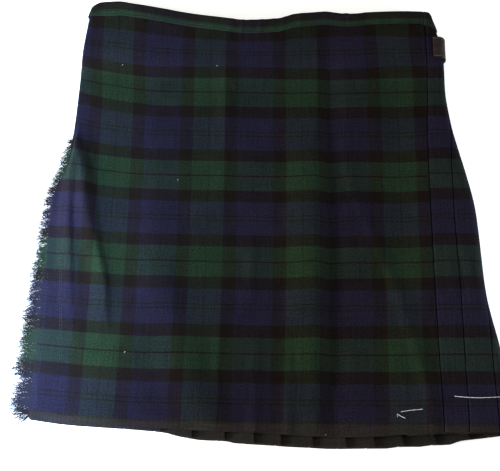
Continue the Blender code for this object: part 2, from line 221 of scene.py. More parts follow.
TUBE_ROWS = (
    (-292, -284.5, 307, 0.8, 11.5, 44.5, 29.5, 36.0, 10.7, 0.8, 0.0, 8, 2, 1.5, 24, 214.9),
    (-187, -283.5, 289, 0.8, 11.5, 44.5, 31.0, 33.5, 11.1, 0.8, 0.0, 8, 2, 1.5, 23, 212.1),
    (-110, -282.5, 276, 0.8, 11.5, 44.5, 31.5, 34.0, 11.2, 0.8, 0.0, 10, 2, 1.5, 18, 210.7),
    (-4, -280.5, 270, 0.8, 11.3, 44.5, 29.5, 35.0, 11.4, 0.8, 0.0, 12, 2, 1.5, 14, 209.9),
    (63, -263.0, 257.6, 0.8, 10.8, 44.5, 30.0, 35.0, 11.7, 2.3, 0.0, 14, 2, 6.0, 13, 209.7),
    (93, -260.0, 251, 0.8, 10.4, 44.5, 30.5, 34.0, 11.8, 2.3, 0.0, 16, 2, 6.0, 11, 210.0),
    (103, -259.4, 248.8, 0.8, 10.3, 44.5, 31.0, 33.5, 11.8, 2.3, 0.0, 90, 1, 6.5, 10, 210.1),
    (123, -258.4, 244.8, 0.8, 10.0, 44.5, 31.5, 32.5, 11.9, 2.3, 0.0, 180, 4, 6.5, 14, 210.8),
    (177, -256.6, 239, 0.8, 9.0, 36.0, 29.0, 31.0, 11.9, 2.3, 0.0, 180, 19, 1.6, 14, 213.0),
    (222, -255.6, 238, 6.8, 7.5, 20.0, 28.0, 28.0, 15.6, 6.8, 0.0, 180, 27, 1.6, 14, 213.8),
    (262, -251.9, 232, 7.9, 6.4, 16.0, 26.5, 26.5, 17.3, 7.9, 1.2, 180, 31, 1.6, 14, 213.0),
    (276, -250.3, 228.4, 8.2, 6.1, 15.0, 26.5, 26.5, 17.7, 8.2, 1.6, 180, 32, 1.6, 14, 212.6),
    (291, -247.4, 223.5, 8.2, 6.1, 15.0, 26.5, 26.5, 17.7, 8.2, 1.6, 180, 32, 1.6, 14, 212.2),
)
FRONT_TOP = SmoothTable(
    (
        (-250, 306.4), (-244, 310.0), (-236, 314.4), (-211, 316.1), (-189, 312.2), (-166, 307.9),
        (-144, 303.5), (-122, 299), (-99, 295.2), (-66, 291.4), (-33, 287.6), (-11, 288.8), (12, 291.1),
        (23, 294.6), (34, 298.8), (56, 301.6), (78, 303.6), (89, 302.2), (106, 300.1), (122, 300.9),
        (134, 302.8), (189, 305), (200, 304.8), (211, 304.6), (220, 303.4), (226, 298),
    )
)
BACK_TOP = SmoothTable(
    (
        (-250, 306), (-244, 305), (-200, 300), (-100, 291), (-60, 286.5), (-15, 285.5), (10, 288.5),
        (45, 292), (190, 297.5), (216, 298), (226, 297),
    )
)
FRONT_HEM = SmoothTable(
    (
        (-284, -284), (-246, -289), (-221, -291.5), (-163, -293), (-17, -297), (90, -300.5), (130, -300),
        (162, -298), (198, -297), (214, -295), (243, -295), (270, -294.5), (307, -290),
    )
)
BACK_HEM = SmoothTable(
    (
        (-284, -284), (-246, -289), (-119, -297), (-105, -300.8), (-73, -305.5), (-41, -306.3),
        (-37, -308.2), (11, -310.6), (20, -311.3), (56, -312.5), (79, -313.3), (118, -312.2),
        (157, -311.2), (160, -309.4), (195, -308.3), (198, -306.8), (224, -305.6), (228, -302.4),
        (240, -300), (270, -296), (307, -290),
    )
)

# The apron's folds and creases. Each row is y, x of the crest, its height, and the run in which it falls
# away on its left and on its right.
FOLDS = (
    (
        (-200, -238, 0.0, 22, 20), (-134, -241, 1.4, 24, 24), (-65, -247, 2.6, 24, 32),
        (0, -252, 3.4, 22, 38), (40, -254, 3.6, 16, 36), (64, -254, 3.2, 9, 32),
        (95, -252, 2.2, 8, 24), (135, -250, 0.0, 8, 18),
    ),
    (
        (-175, -242, 0.0, 22, 6), (-134, -246, 1.2, 22, 6), (-65, -253, 2.2, 20, 7),
        (-20, -257, 3.0, 20, 8), (20, -258, 3.4, 16, 9), (64, -257, 2.8, 8, 9), (110, -255, 0.0, 6, 8),
    ),
    (
        (-175, -197, 0.0, 26, 7), (-150, -200, 2.4, 30, 7), (-124, -202, 3.6, 32, 8),
        (-100, -207, 4.0, 30, 9), (-65, -218, 4.6, 28, 12), (-30, -229, 5.4, 24, 17),
        (5, -237, 6.2, 20, 20), (35, -242, 5.6, 16, 19), (55, -246, 4.2, 11, 15), (77, -251, 2.0, 8, 10),
        (100, -256, 0.0, 8, 8),
    ),
    (
        (-290, 64, 1.4, 30, 21), (-200, 62, 5.0, 44, 20), (-60, 61, 7.2, 50, 21), (40, 61, 6.4, 50, 21),
        (130, 62, 3.6, 44, 19), (230, 64, 1.6, 30, 16), (285, 64, 0.0, 30, 16),
    ),
    ((-290, 110, 1.5, 24, 36), (-60, 107, 2.6, 22, 40), (120, 106, 2.4, 22, 40), (285, 106, 0.0, 20, 36)),
    (
        (-288, 206, 1.4, 16, 8), (-260, 204, 1.9, 16, 10), (-214, 193, 2.2, 15, 14),
        (-152, 176, 2.0, 14, 16), (-96, 158, 1.7, 13, 15), (-59, 145, 1.5, 12, 14),
        (-15, 126, 1.3, 12, 14), (53, 106, 0.9, 12, 14), (100, 97, 0.0, 12, 14),
    ),
    (
        (-291, -62, 2.6, 52, 44), (-219, -95, 3.0, 50, 44), (-178, -106, 2.8, 46, 42),
        (-80, -138, 2.2, 40, 42), (0, -147, 1.8, 36, 42), (80, -162, 0.0, 30, 40),
    ),
)
CREASES = (
    (
        (-110, 168, 0.0, 26, 34), (-30, 168, -2.2, 28, 36), (118, 168, -2.4, 30, 38),
        (200, 168, -1.2, 28, 36), (265, 170, 0.0, 26, 34),
    ),
    (
        (-275, 86, 0.0, 12, 6), (-200, 84.5, -0.8, 13, 5), (-60, 83.5, -0.9, 14, 5), (60, 83.5, -0.8, 13, 5),
        (170, 83, -0.5, 12, 5), (240, 82, 0.0, 10, 5),
    ),
    ((-292, -12, 1.2, 13, 11), (-218, -12, 1.0, 13, 11), (-150, -10, 0.0, 12, 10)),
    ((-292, 29, 1.2, 13, 12), (-224, 29, 1.1, 13, 12), (-160, 27, 0.0, 12, 11)),
    ((-260, -60, 0.0, 12, 12), (-212, -59, 1.0, 12, 12), (-163, -57, 0.9, 12, 12), (-130, -55, 0.0, 12, 11)),
    ((-135, -17, 0.0, 14, 9), (-110, -17, 0.9, 14, 9), (-58, -18, 0.9, 14, 9), (-30, -19, 0.0, 14, 9)),
    ((-60, -60, 0.0, 16, 12), (60, -57, 0.7, 18, 12), (200, -60, 0.9, 16, 12), (262, -62, 0.0, 12, 12)),
    ((120, -60, 0.0, 16, 20), (165, -56, 1.4, 16, 20), (200, -52, 1.2, 16, 18), (245, -46, 0.0, 12, 14)),
    ((-30, 152, 0.0, 12, 22), (40, 148, 0.8, 12, 24), (130, 146, 0.7, 12, 22), (200, 145, 0.0, 10, 20)),
    ((284, 95, 1.2, 5, 7), (290, 104, 1.4, 5, 7), (300, 116, 0.0, 5, 7)),
    ((180, -44, 0.0, 4, 5), (187, -47, 0.9, 4, 5), (197, -54, 0.0, 4, 5)),
)
# How uneven the pleats on the underside are, in shares of a pleat's width over EVENNESS.
EDGE_SHIFTS = (0, 2, -1.5, -3, 1, 3, 0.5, -2, 1.5, 3, -1, -2.5, 0.5, 0)
EVENNESS = 37
# The waistband's lower edge stays level left of this place, where its top turns down.
CORNER_X, CORNER_LEVEL, CORNER_RUN = -200.0, 314.6, 14.0
# Each gather's x, height and run.
GATHERS = (
    (-52, 0.5, 6), (-38, 0.7, 4), (-27, 0.4, 7), (-12, 0.7, 4), (3, 0.4, 6), (20, 0.5, 5), (44, 0.4, 8),
)


@dataclass
class LaidTube:
    """The flattened tube that every cloth of the garment follows."""

    layer: float = 1.5
    half_length: float = 292.0
    strap_x: float = 214.0
    pleats: int = 16
    pleats_end_x: float = -167.5
    step_run: float = 2.6
    hem_droop: float = 3.2
    droop_from_y: float = -279.0
    droop_run: float = 13.0
    rumple: float = 0.55
    wide_rumple: tuple[float, float] = (62.0, 150.0)
    fine_rumple: tuple[float, float] = (17.0, 60.0)
    gather_lean: float = 0.12
    gathers_from_y: float = 236.0
    under_gap: float = 0.1
    fold_run: float = 1.2
    rise_start_x: float = 60.0
    left_level_x: float = -140.0
    hug_start_x: float = -180.0
    hug_end_x: float = -210.0
    under_fold_radius: float = 1.5
    rows: SmoothTable = SmoothTable(TUBE_ROWS)
    folds: tuple[SmoothTable, ...] = tuple(map(SmoothTable, FOLDS + CREASES))

    def section(self, y: float) -> Section:
        """Return the tube's section at a nominal row."""
        return Section(y, *self.rows.at(y))

    def real_y(self, y: float, x: Array, back: Array) -> Array:
        """Bend a nominal row to the hem's and the waist's own outlines.

        Args:
            y: the nominal row.
            x: places across it.
            back: which of them lie on the back.

        Returns:
            Where the row lies at each place.
        """
        hem = np.where(back, BACK_HEM.value(x), FRONT_HEM.value(x)) + self.half_length
        top = np.where(back, BACK_TOP.value(x), FRONT_TOP.value(x)) - self.half_length
        return y + mix(hem, top, (y + self.half_length) / (2 * self.half_length))

    def left_height(self, section: Section) -> float:
        """Return the over-apron's height at the left fold."""
        return section.hug + 2 * self.under_fold_radius + self.layer + section.band

    def front_height(self, x: Array, section: Section) -> Array:
        """Find the over-apron's plain form.

        Args:
            x: places across the row.
            section: the row.

        Returns:
            The height of its middle, without its creases.
        """
        left_share = (x - section.left) / (self.left_level_x - section.left)
        left = mix(self.left_height(section), section.front, smooth(left_share))
        fold_x = section.right - section.radius
        crown = section.low + 2 * section.radius
        rise = smooth((x - self.rise_start_x) / (fold_x - self.rise_start_x))
        droop = self.hem_droop * smooth((self.droop_from_y - section.y) / self.droop_run)
        droop *= smooth((x - section.left) / 25)
        return np.where(x < self.left_level_x, left, mix(section.front, crown, rise)) - droop

    def rumpled(self, x: float, y: float) -> float:
        """Find the cloth's soft unevenness.

        Args:
            x: a place across.
            y: the nominal row.

        Returns:
            A noise about 0.
        """
        wide, fine = self.wide_rumple, self.fine_rumple
        large = noise.noise(Vector((x / wide[0], y / wide[1], 0.3)))
        return large + 0.4 * noise.noise(Vector((x / fine[0], y / fine[1], 4)))

    def relief(self, x: Array, y: float) -> Array:
        """Add up the over-apron's folds, creases, rumples and gathers.

        Args:
            x: places across the row.
            y: the nominal row.

        Returns:
            How far the over-apron stands above its plain form.
        """
        total = np.zeros_like(x)
        for table in self.folds:
            if table.keys[0] <= y <= table.keys[-1]:
                crest, height, left_run, right_run = table.at(y)
                total += height * bulge_at(x, crest, np.where(x < crest, left_run, right_run))
        waves = np.array([self.rumpled(a, y) for a in x])
        edge = smooth((y + 300) / 60) * 0.6 + 0.4
        total += self.rumple * edge * np.maximum(waves + 0.25, -0.2)
        gathers = np.zeros_like(x)
        for place, height, run in GATHERS:
            gathers += height * bulge_at(x, place + self.gather_lean * (y - 280), run)
        return total + gathers * float(smooth((y - self.gathers_from_y) / 36))

    def lengths(self, section: Section) -> tuple[float, float, float]:
        """Measure the tube.

        Args:
            section: the row.

        Returns:
            Where the right fold starts and ends, and where the pleats end, along the tube.
        """
        start = section.right - section.radius - section.edge
        end = start + math.pi * section.radius
        return start, end, end + section.right - section.radius - self.pleats_end_x

    def place(self, section: Section, s: Array, h: Array) -> tuple[Array, Array, Array]:
        """Find places on the tube.

        Args:
            section: the row.
            s: the way along it from the over-apron's edge.
            h: how far inside the tube's outer face.

        Returns:
            x, z and whether each is on the back.
        """
        s, h = np.broadcast_arrays(np.asarray(s, float), np.asarray(h, float))
        start, end, _ = self.lengths(section)
        centre = section.right - section.radius
        front_x = section.edge + s
        slope = self.front_height(front_x + 0.5, section) - self.front_height(front_x - 0.5, section)
        size = np.hypot(slope, 1)
        angle = np.clip((s - start) / section.radius, 0, math.pi)
        reach = section.radius - h
        back_x = centre - (s - end)
        lift = smooth((self.hug_start_x - back_x) / (self.hug_start_x - self.hug_end_x))
        on_front, on_back = s <= start, s >= end
        x = np.where(on_front, front_x + h * slope / size, centre + reach * np.sin(angle))
        z = np.where(
            on_front,
            self.front_height(front_x, section) - h / size,
            section.low + section.radius + reach * np.cos(angle),
        )
        x = np.where(on_back, back_x, x)
        z = np.where(on_back, mix(section.low, section.hug, lift) + h, z)
        return x, z, on_back | (~on_front & (angle > math.pi / 2))

    def pleat_edges(self, section: Section) -> list[float]:
        """Find the knife edges.

        Args:
            section: the row.

        Returns:
            Their places along the tube, from the over-apron's own.
        """
        edges = [0.0, section.first, section.first + section.second]
        rest = (self.lengths(section)[2] - edges[-1]) / (self.pleats - 2)
        size = rest / EVENNESS
        return edges + [edges[2] + rest * i + EDGE_SHIFTS[i - 1] * size for i in range(1, self.pleats - 1)]

    def slopes(self, edges: Sequence[float]) -> list[float]:
        """Return how steeply each pleat's layers lean, so that its neighbour's fit under them."""
        widths = [b - a for a, b in zip(edges, edges[1:])]
        return [2 * self.layer / width for width in widths[:1] + widths]

    def step(self, edge: float, shares: Sequence[float]) -> list[tuple[float, float]]:
        """Return places down the step from a knife edge to the next face."""
        return [(edge + self.step_run * t, 2 * self.layer * (1 - float(smooth(t)))) for t in shares]

    def round_fold(self, tip: float, middle: float, way: int) -> list[tuple[float, float]]:
        """Find the round of a pleat's fold.

        Args:
            tip: the fold's tip, along the tube.
            middle: the depth of its middle, inside the tube.
            way: 1 where it opens along the tube, or -1.

        Returns:
            Places along the tube and inside it.
        """
        angles = [math.pi * i / 6 for i in range(1, 6)]
        half = self.layer / 2
        return [(tip + way * self.fold_run * (1 - math.sin(a)), middle - half * math.cos(a)) for a in angles]

    def return_layer(self, edge: float, depth: float, slope: float) -> list[tuple[float, float]]:
        """Find a pleat's layer from its knife edge to its inner fold.

        Args:
            edge: the knife edge, along the tube.
            depth: how far the inner fold lies behind it.
            slope: how steeply the layer leans.

        Returns:
            Places along the tube and inside it.
        """
        run, layer = self.fold_run, self.layer
        return self.round_fold(edge, layer / 2, -1) + [
            (edge - run, layer + slope * run), (edge - depth + run, layer + slope * (depth - run)),
        ]

    def forward_layer(self, edge: float, depth: float, slope: float) -> list[tuple[float, float]]:
        """Find a pleat's layer from its inner fold back to its knife edge.

        Args:
            edge: the knife edge, along the tube.
            depth: how far the inner fold lies behind it.
            slope: how steeply the layer leans.

        Returns:
            Places along the tube and inside it.
        """
        run, layer = self.fold_run, self.layer
        return self.round_fold(edge - depth, 1.5 * layer + slope * depth, 1) + [
            (edge - depth + run, 2 * layer + slope * (depth - run)), (edge, 2 * layer),
        ]

    def left_arc(self, x: float, z: float, radius: float, turn: float, steps: int) -> list[FoldPoint]:
        """Find points over the left fold, from its top towards the underside.

        Args:
            x: the arc's middle, across.
            z: its height.
            radius: its radius.
            turn: how far it goes round, in degrees.
            steps: how many pieces it has.

        Returns:
            The points.
        """
        angles = [math.radians(turn) * i / steps for i in range(steps + 1)]
        return [(x - radius * math.sin(a), z + radius * math.cos(a), a > math.pi / 2) for a in angles]

    def apron_end(self, section: Section, out: float = 0.0) -> tuple[list[FoldPoint], tuple[float, float]]:
        """Find the over-apron's end at the left fold, and the way in which it points.

        Args:
            section: the row.
            out: how far outside the cloth's middle.

        Returns:
            The points, and a unit direction in x and z.
        """
        low = section.hug - self.layer - section.band - self.under_gap
        radius = (self.left_height(section) - low) / 2
        angle = math.radians(section.turn)
        way = (-math.cos(angle), -math.sin(angle))
        reach = radius if section.turn >= 90 else radius * math.sin(angle) - section.tuck * way[0]
        arc = self.left_arc(section.left + reach, low + radius, radius + out, section.turn, 10)
        x, z, back = arc[-1]
        tuck = [section.tuck * i / 3 for i in (1, 2, 3)]
        return arc + [(x + way[0] * part, z + way[1] * part, back) for part in tuck], way


# ---------------------------------------------------------------- modelling


class Bench:
    """Modelling steps that several pieces share."""

    @staticmethod
    def clear() -> None:
        """Leave nothing selected, in object mode."""
        if bpy.context.object and bpy.context.object.mode != "OBJECT":
            bpy.ops.object.mode_set(mode="OBJECT")
        bpy.ops.object.select_all(action="DESELECT")

    @staticmethod
    def take(piece: bpy.types.Object) -> None:
        """Make one piece the selected and active one.

        Args:
            piece: the object.
        """
        Bench.clear()
        piece.select_set(True)
        bpy.context.view_layer.objects.active = piece

    @staticmethod
    def added(name: str) -> bpy.types.Object:
        """Name the primitive that was just added, and its mesh.

        Args:
            name: the name of both.

        Returns:
            The object.
        """
        piece = bpy.context.object
        piece.name = name
        piece.data.name = name
        return piece

    @staticmethod
    def modify(piece: bpy.types.Object, kind: str, **settings: object) -> None:
        """Add one modifier and apply it.

        Args:
            piece: the object.
            kind: the modifier's type.
            settings: its properties.
        """
        Bench.take(piece)
        modifier = piece.modifiers.new(kind.lower(), kind)
        for key, value in settings.items():
            setattr(modifier, key, value)
        bpy.ops.object.modifier_apply(modifier=modifier.name)

    @staticmethod
    def freeze(piece: bpy.types.Object) -> None:
        """Put a piece's place into its mesh."""
        Bench.take(piece)
        bpy.ops.object.transform_apply(location=True, rotation=True, scale=True)

    @staticmethod
    def join(pieces: Sequence[bpy.types.Object], name: str) -> bpy.types.Object:
        """Join pieces into the first.

        Args:
            pieces: the objects.
            name: the name of the whole.

        Returns:
            The whole.
        """
        Bench.clear()
        for piece in pieces:
            piece.select_set(True)
        bpy.context.view_layer.objects.active = pieces[0]
        if len(pieces) > 1:
            bpy.ops.object.join()
        return Bench.added(name)

    @staticmethod
    def shade(piece: bpy.types.Object, degrees: float = 40.0) -> None:
        """Shade smooth, with edges sharper than the angle kept."""
        Bench.take(piece)
        bpy.ops.object.shade_smooth_by_angle(angle=math.radians(degrees))

    @staticmethod
    def sheet(name: str, points: Array, cloth: Array, wall: float) -> bpy.types.Object:
        """Make a thin closed shell through rows of points.

        Args:
            name: the piece's name.
            points: rows by columns by 3, in millimetres, of the shell's middle.
            cloth: rows by columns by 2, in millimetres: the place across and along the flat cloth.
            wall: the shell's thickness.

        Returns:
            The piece, with its flat places in the UV map named CLOTH_UV, in metres.
        """
        Bench.clear()
        rows, columns = points.shape[:2]
        bpy.ops.mesh.primitive_grid_add(x_subdivisions=columns - 1, y_subdivisions=rows - 1, size=1.0)
        piece = Bench.added(name)
        mesh = piece.data
        mesh.vertices.foreach_set("co", (points.reshape(-1) * MM).astype(np.float32))
        while mesh.uv_layers:
            mesh.uv_layers.remove(mesh.uv_layers[0])
        Bench.write_uv(mesh, cloth.reshape(-1, 2) * MM)
        mesh.update()
        Bench.modify(piece, "SOLIDIFY", thickness=wall * MM, offset=0.0, use_even_offset=True)
        corners = np.zeros(len(mesh.vertices) * 3, np.float32)
        mesh.vertices.foreach_get("co", corners)
        corners[2::3] = np.maximum(corners[2::3], LOWEST * MM)
        mesh.vertices.foreach_set("co", corners)
        Bench.shade(piece, 55.0)
        return piece

    @staticmethod
    def write_uv(mesh: bpy.types.Mesh, places: Array) -> None:
        """Write each vertex's place on the flat cloth to the UV map.

        Args:
            mesh: the mesh.
            places: a place for each vertex, in metres.
        """
        layer = mesh.uv_layers.new(name=CLOTH_UV)
        corners = np.zeros(len(mesh.loops), np.int32)
        mesh.loops.foreach_get("vertex_index", corners)
        layer.data.foreach_set("uv", places[corners].reshape(-1).astype(np.float32))

    @staticmethod
    def strands(
        name: str, lines: Sequence[Array], radius: float, taper: float,
        cloth: Sequence[tuple[float, float]] | None = None,
    ) -> bpy.types.Object:
        """Make many thin round yarns as one mesh.

        Args:
            name: the piece's name.
            lines: each yarn's points in millimetres, all with the same count.
            radius: the yarns' radius in millimetres.
            taper: the share of the radius left at each yarn's end.
            cloth: each yarn's place on the flat cloth, in millimetres, or None where it doesn't matter.

        Returns:
            The mesh piece.
        """
        Bench.clear()
        curve = bpy.data.curves.new(name, "CURVE")
        curve.dimensions = "3D"
        curve.bevel_depth = radius * MM
        curve.bevel_resolution = 0
        curve.use_fill_caps = True
        for line in lines:
            spline = curve.splines.new("POLY")
            spline.points.add(len(line) - 1)
            packed = np.concatenate([line * MM, np.ones((len(line), 1))], axis=1)
            spline.points.foreach_set("co", packed.reshape(-1).astype(np.float32))
            spline.points.foreach_set("radius", np.linspace(1, taper, len(line)).astype(np.float32))
        piece = bpy.data.objects.new(name, curve)
        bpy.context.scene.collection.objects.link(piece)
        Bench.take(piece)
        bpy.ops.object.convert(target="MESH")
        piece = Bench.added(name)
        bpy.ops.object.mode_set(mode="EDIT")
        bpy.ops.mesh.select_all(action="SELECT")
        bpy.ops.mesh.remove_doubles(threshold=CAP_WELD)
        bpy.ops.object.mode_set(mode="OBJECT")
        centres = np.concatenate(lines) * MM
        tree = kdtree.KDTree(len(centres))
        for index, centre in enumerate(centres):
            tree.insert(centre, index)
        tree.balance()
        owners = [tree.find(vertex.co)[1] // len(lines[0]) for vertex in piece.data.vertices]
        while piece.data.uv_layers:
            piece.data.uv_layers.remove(piece.data.uv_layers[0])
        places = np.zeros((len(lines), 2)) if cloth is None else np.array(cloth, float)
        Bench.write_uv(piece.data, places[owners] * MM)
        Bench.shade(piece, 80.0)
        return piece


# ---------------------------------------------------------------- finishes


class Number:
    """A number in a material's nodes that takes Python's operators."""

    def __init__(self, graph: "Graph", socket: bpy.types.NodeSocket) -> None:
        """Wrap one output."""
        self.graph, self.socket = graph, socket

    def math(self, operation: str, *others: "Number | float", clamp: bool = False) -> "Number":
        """Add one Math node.

        Args:
            operation: its operation.
            others: its other inputs.
            clamp: whether the result is held between 0 and 1.

        Returns:
            The result.
        """
        inputs = dict(enumerate((self,) + others))
        node = self.graph.node("ShaderNodeMath", {"operation": operation, "use_clamp": clamp}, inputs)
        return Number(self.graph, node.outputs[0])

    def __add__(self, other: "Number | float") -> "Number":
        """Return the sum."""
        return self.math("ADD", other)

    __radd__ = __add__

    def __mul__(self, other: "Number | float") -> "Number":
        """Return the product."""
        return self.math("MULTIPLY", other)

    __rmul__ = __mul__

    def __sub__(self, other: "Number | float") -> "Number":
        """Return the difference."""
        return self.math("SUBTRACT", other)

    def __rsub__(self, other: float) -> "Number":
        """Return the difference from a plain number."""
        return self * -1.0 + other

    def __truediv__(self, other: "Number | float") -> "Number":
        """Return the quotient."""
        return self.math("DIVIDE", other)

    def below(self, level: float, blur: float) -> "Number":
        """Return 1 where this is under a level and 0 above it, over a short blur."""
        return ((self - level) * (-1.0 / blur)).math("ADD", 0.5, clamp=True)

    def sine(self) -> "Number":
        """Return the sine."""
        return self.math("SINE")


class Graph:
    """One material's nodes."""

    def __init__(self, name: str) -> None:
        """Start a material with its Principled shader.

        Args:
            name: the material's name.
        """
        self.material = bpy.data.materials.new(name)
        self.material.use_nodes = True
        self.tree = self.material.node_tree
        self.shader = self.tree.nodes["Principled BSDF"]

    def node(
        self, kind: str, settings: dict[str, object], inputs: dict[str | int, object]
    ) -> bpy.types.Node:
        """Add any node.

        Args:
            kind: its type.
            settings: its properties, set first.
            inputs: values, sockets or Numbers for its inputs, by name or index.

        Returns:
            The node.
        """
        node = self.tree.nodes.new(kind)
        for key, value in settings.items():
            setattr(node, key, value)
        for key, value in inputs.items():
            self.feed(node.inputs[key], value)
        return node

    def feed(self, socket: bpy.types.NodeSocket, value: object) -> None:
        """Link or set one input.

        Args:
            socket: the input.
            value: a Number, a socket, a colour or a plain value.
        """
        if isinstance(value, Number):
            value = value.socket
        if isinstance(value, bpy.types.NodeSocket):
            self.tree.links.new(value, socket)
        elif isinstance(value, tuple) and len(value) == 3 and socket.type == "RGBA":
            socket.default_value = (*value, 1.0)
        else:
            socket.default_value = value

    def cloth_places(self) -> tuple[Number, Number]:
        """Return the places across and along the flat cloth."""
        uv = self.node("ShaderNodeUVMap", {"uv_map": CLOTH_UV}, {})
        split = self.node("ShaderNodeSeparateXYZ", {}, {0: uv.outputs[0]})
        return Number(self, split.outputs[0]), Number(self, split.outputs[1])

    def own_place(self) -> bpy.types.NodeSocket:
        """Return the place in the object's own space."""
        return self.node("ShaderNodeTexCoord", {}, {}).outputs["Object"]

    def vector(self, x: Number | float, y: Number | float, z: Number | float = 0.0) -> bpy.types.NodeSocket:
        """Return a vector of three numbers."""
        return self.node("ShaderNodeCombineXYZ", {}, {0: x, 1: y, 2: z}).outputs[0]

    def noise(self, at: bpy.types.NodeSocket, scale: float, detail: float = 3.0) -> Number:
        """Return a noise from 0 to 1."""
        node = self.node("ShaderNodeTexNoise", {}, {"Vector": at, "Scale": scale, "Detail": detail})
        return Number(self, node.outputs[0])

    def blend(self, factor: Number | float, a: object, b: object, way: str = "MIX") -> bpy.types.NodeSocket:
        """Return one colour mixed into another."""
        settings = {"data_type": "RGBA", "blend_type": way}
        return self.node("ShaderNodeMix", settings, {0: factor, 6: a, 7: b}).outputs[2]

    def shaded(self, colour: bpy.types.NodeSocket, shade: Number) -> bpy.types.NodeSocket:
        """Return a colour multiplied by one number."""
        return self.blend(1.0, colour, self.vector(shade, shade, shade), "MULTIPLY")

    def bump(self, height: Number, distance: float, strength: float) -> None:
        """Raise the surface.

        Args:
            height: the height, from 0 to 1.
            distance: how far 1 is, in metres.
            strength: how much of it shows.
        """
        inputs = {"Height": height, "Distance": distance, "Strength": strength}
        node = self.node("ShaderNodeBump", {}, inputs)
        self.feed(self.shader.inputs["Normal"], node.outputs[0])

    def set(self, **values: object) -> None:
        """Set or link the shader's inputs, named with _ for a space."""
        for key, value in values.items():
            self.feed(self.shader.inputs[key.replace("_", " ")], value)


@dataclass(frozen=True)
class TartanFinish:
    """A dark twill wool woven in green, black and blue, with thin black lines."""

    name: str = "tartan_twill"
    repeat: float = 0.125
    green_to: float = 0.1725
    black_to: float = 0.3075
    line_to: float = 0.008
    pair_at: float = 0.476
    pair_half: float = 0.006
    blur: float = 0.006
    green: Colour = (0.0102, 0.0214, 0.0098)
    black: Colour = (0.0073, 0.0043, 0.0031)
    blue: Colour = (0.0104, 0.0083, 0.0190)
    weft_share: float = 0.65
    twill_swing: float = 0.32
    fine: float = 900.0
    coarse: float = 25.0
    warp_lines: float = 0.5
    weft_lines: float = 1.0
    twill: float = 0.0022
    # Painted light: rows of the cloth below hem_at, in metres along it, are mixed towards a pale grey,
    # standing in for light that the hem catches.
    hem_at: float = -0.3385
    hem_light_share: float = 0.5
    hem_light_colour: Colour = (0.0245, 0.0205, 0.0195)

    def stripes(self, graph: Graph, place: Number, lines: float) -> bpy.types.NodeSocket:
        """Colour the yarns of one direction, as cube roots.

        Args:
            graph: the material's nodes.
            place: the place across those yarns, in metres.
            lines: how dark the thin lines are.

        Returns:
            Their colour's cube root, which mixes as dark yarns do.
        """
        colours = (self.green, self.black, self.blue)
        green, black, blue = (tuple(value ** (1 / 3) for value in colour) for colour in colours)
        away = (place / self.repeat).math("PINGPONG", 0.5)
        colour = graph.blend(away.below(self.black_to, self.blur), blue, black)
        colour = graph.blend(away.below(self.green_to, self.blur), colour, green)
        pair = (away - self.pair_at).math("ABSOLUTE").below(self.pair_half, self.blur)
        thin = away.below(self.line_to, self.blur).math("MAXIMUM", pair)
        return graph.blend(thin * lines, colour, black)

    def cubed(self, graph: Graph, colour: bpy.types.NodeSocket) -> bpy.types.NodeSocket:
        """Return the colour of a cube root."""
        return graph.node("ShaderNodeGamma", {}, {0: colour, 1: 3.0}).outputs[0]

    def make(self) -> bpy.types.Material:
        """Return the material."""
        graph = Graph(self.name)
        across, along = graph.cloth_places()
        diagonal = ((across + along) * (math.tau / self.twill)).sine()
        weft_up = (diagonal * self.twill_swing + self.weft_share).math("ADD", 0.0, clamp=True)
        warp = self.stripes(graph, across, self.warp_lines)
        weft = self.stripes(graph, along, self.weft_lines)
        colour = self.cubed(graph, graph.blend(weft_up, warp, weft))
        # Painted light: the hem's bottom rows are mixed towards a pale grey.
        hem_lit = along.below(self.hem_at, self.blur) * self.hem_light_share
        colour = graph.blend(hem_lit, colour, self.hem_light_colour)
        warp_yarns = graph.noise(graph.vector(across * self.fine, along * self.coarse), 1.0, 1.0)
        weft_yarns = graph.noise(graph.vector(across * self.coarse, along * self.fine, 5.0), 1.0, 1.0)
        cloudy = graph.noise(graph.vector(across, along, 0.4), 22.0, 4.0)
        grain = graph.noise(graph.vector(across, along, 0.9), 480.0, 2.0)
        shade = warp_yarns * 0.9 + weft_yarns * 0.6 + cloudy * 0.5 + grain * 2.0 - 1.0
        graph.set(
            Base_Color=graph.shaded(colour, shade),
            Roughness=cloudy * 0.1 + 0.90,
            Specular_IOR_Level=0.13,
        )
        graph.bump(diagonal * 0.5 + (warp_yarns + weft_yarns) * 0.6, 0.00022, 0.55)
        return graph.material


@dataclass(frozen=True)
class YarnFinish:
    """Loose weft yarns, coloured by the stripe that they come out of."""

    name: str = "loose_yarn"
    tartan: TartanFinish = TartanFinish()
    lines: float = 0.3
    lift: float = 0.55

    def make(self) -> bpy.types.Material:
        """Return the material."""
        graph = Graph(self.name)
        across, along = graph.cloth_places()
        colour = self.tartan.cubed(graph, self.tartan.stripes(graph, along, self.lines))
        single = graph.noise(graph.vector(across * 300.0, along * 300.0, 2.0), 1.0, 2.0)
        shade = (single * 1.5 + 0.35) * self.lift
        graph.set(
            Base_Color=graph.shaded(colour, shade),
            Roughness=single * 0.2 + 0.7,
            Sheen_Weight=0.1,
            Sheen_Roughness=0.4,
            Sheen_Tint=(0.8, 0.9, 1.0),
            Specular_IOR_Level=0.1,
        )
        return graph.material


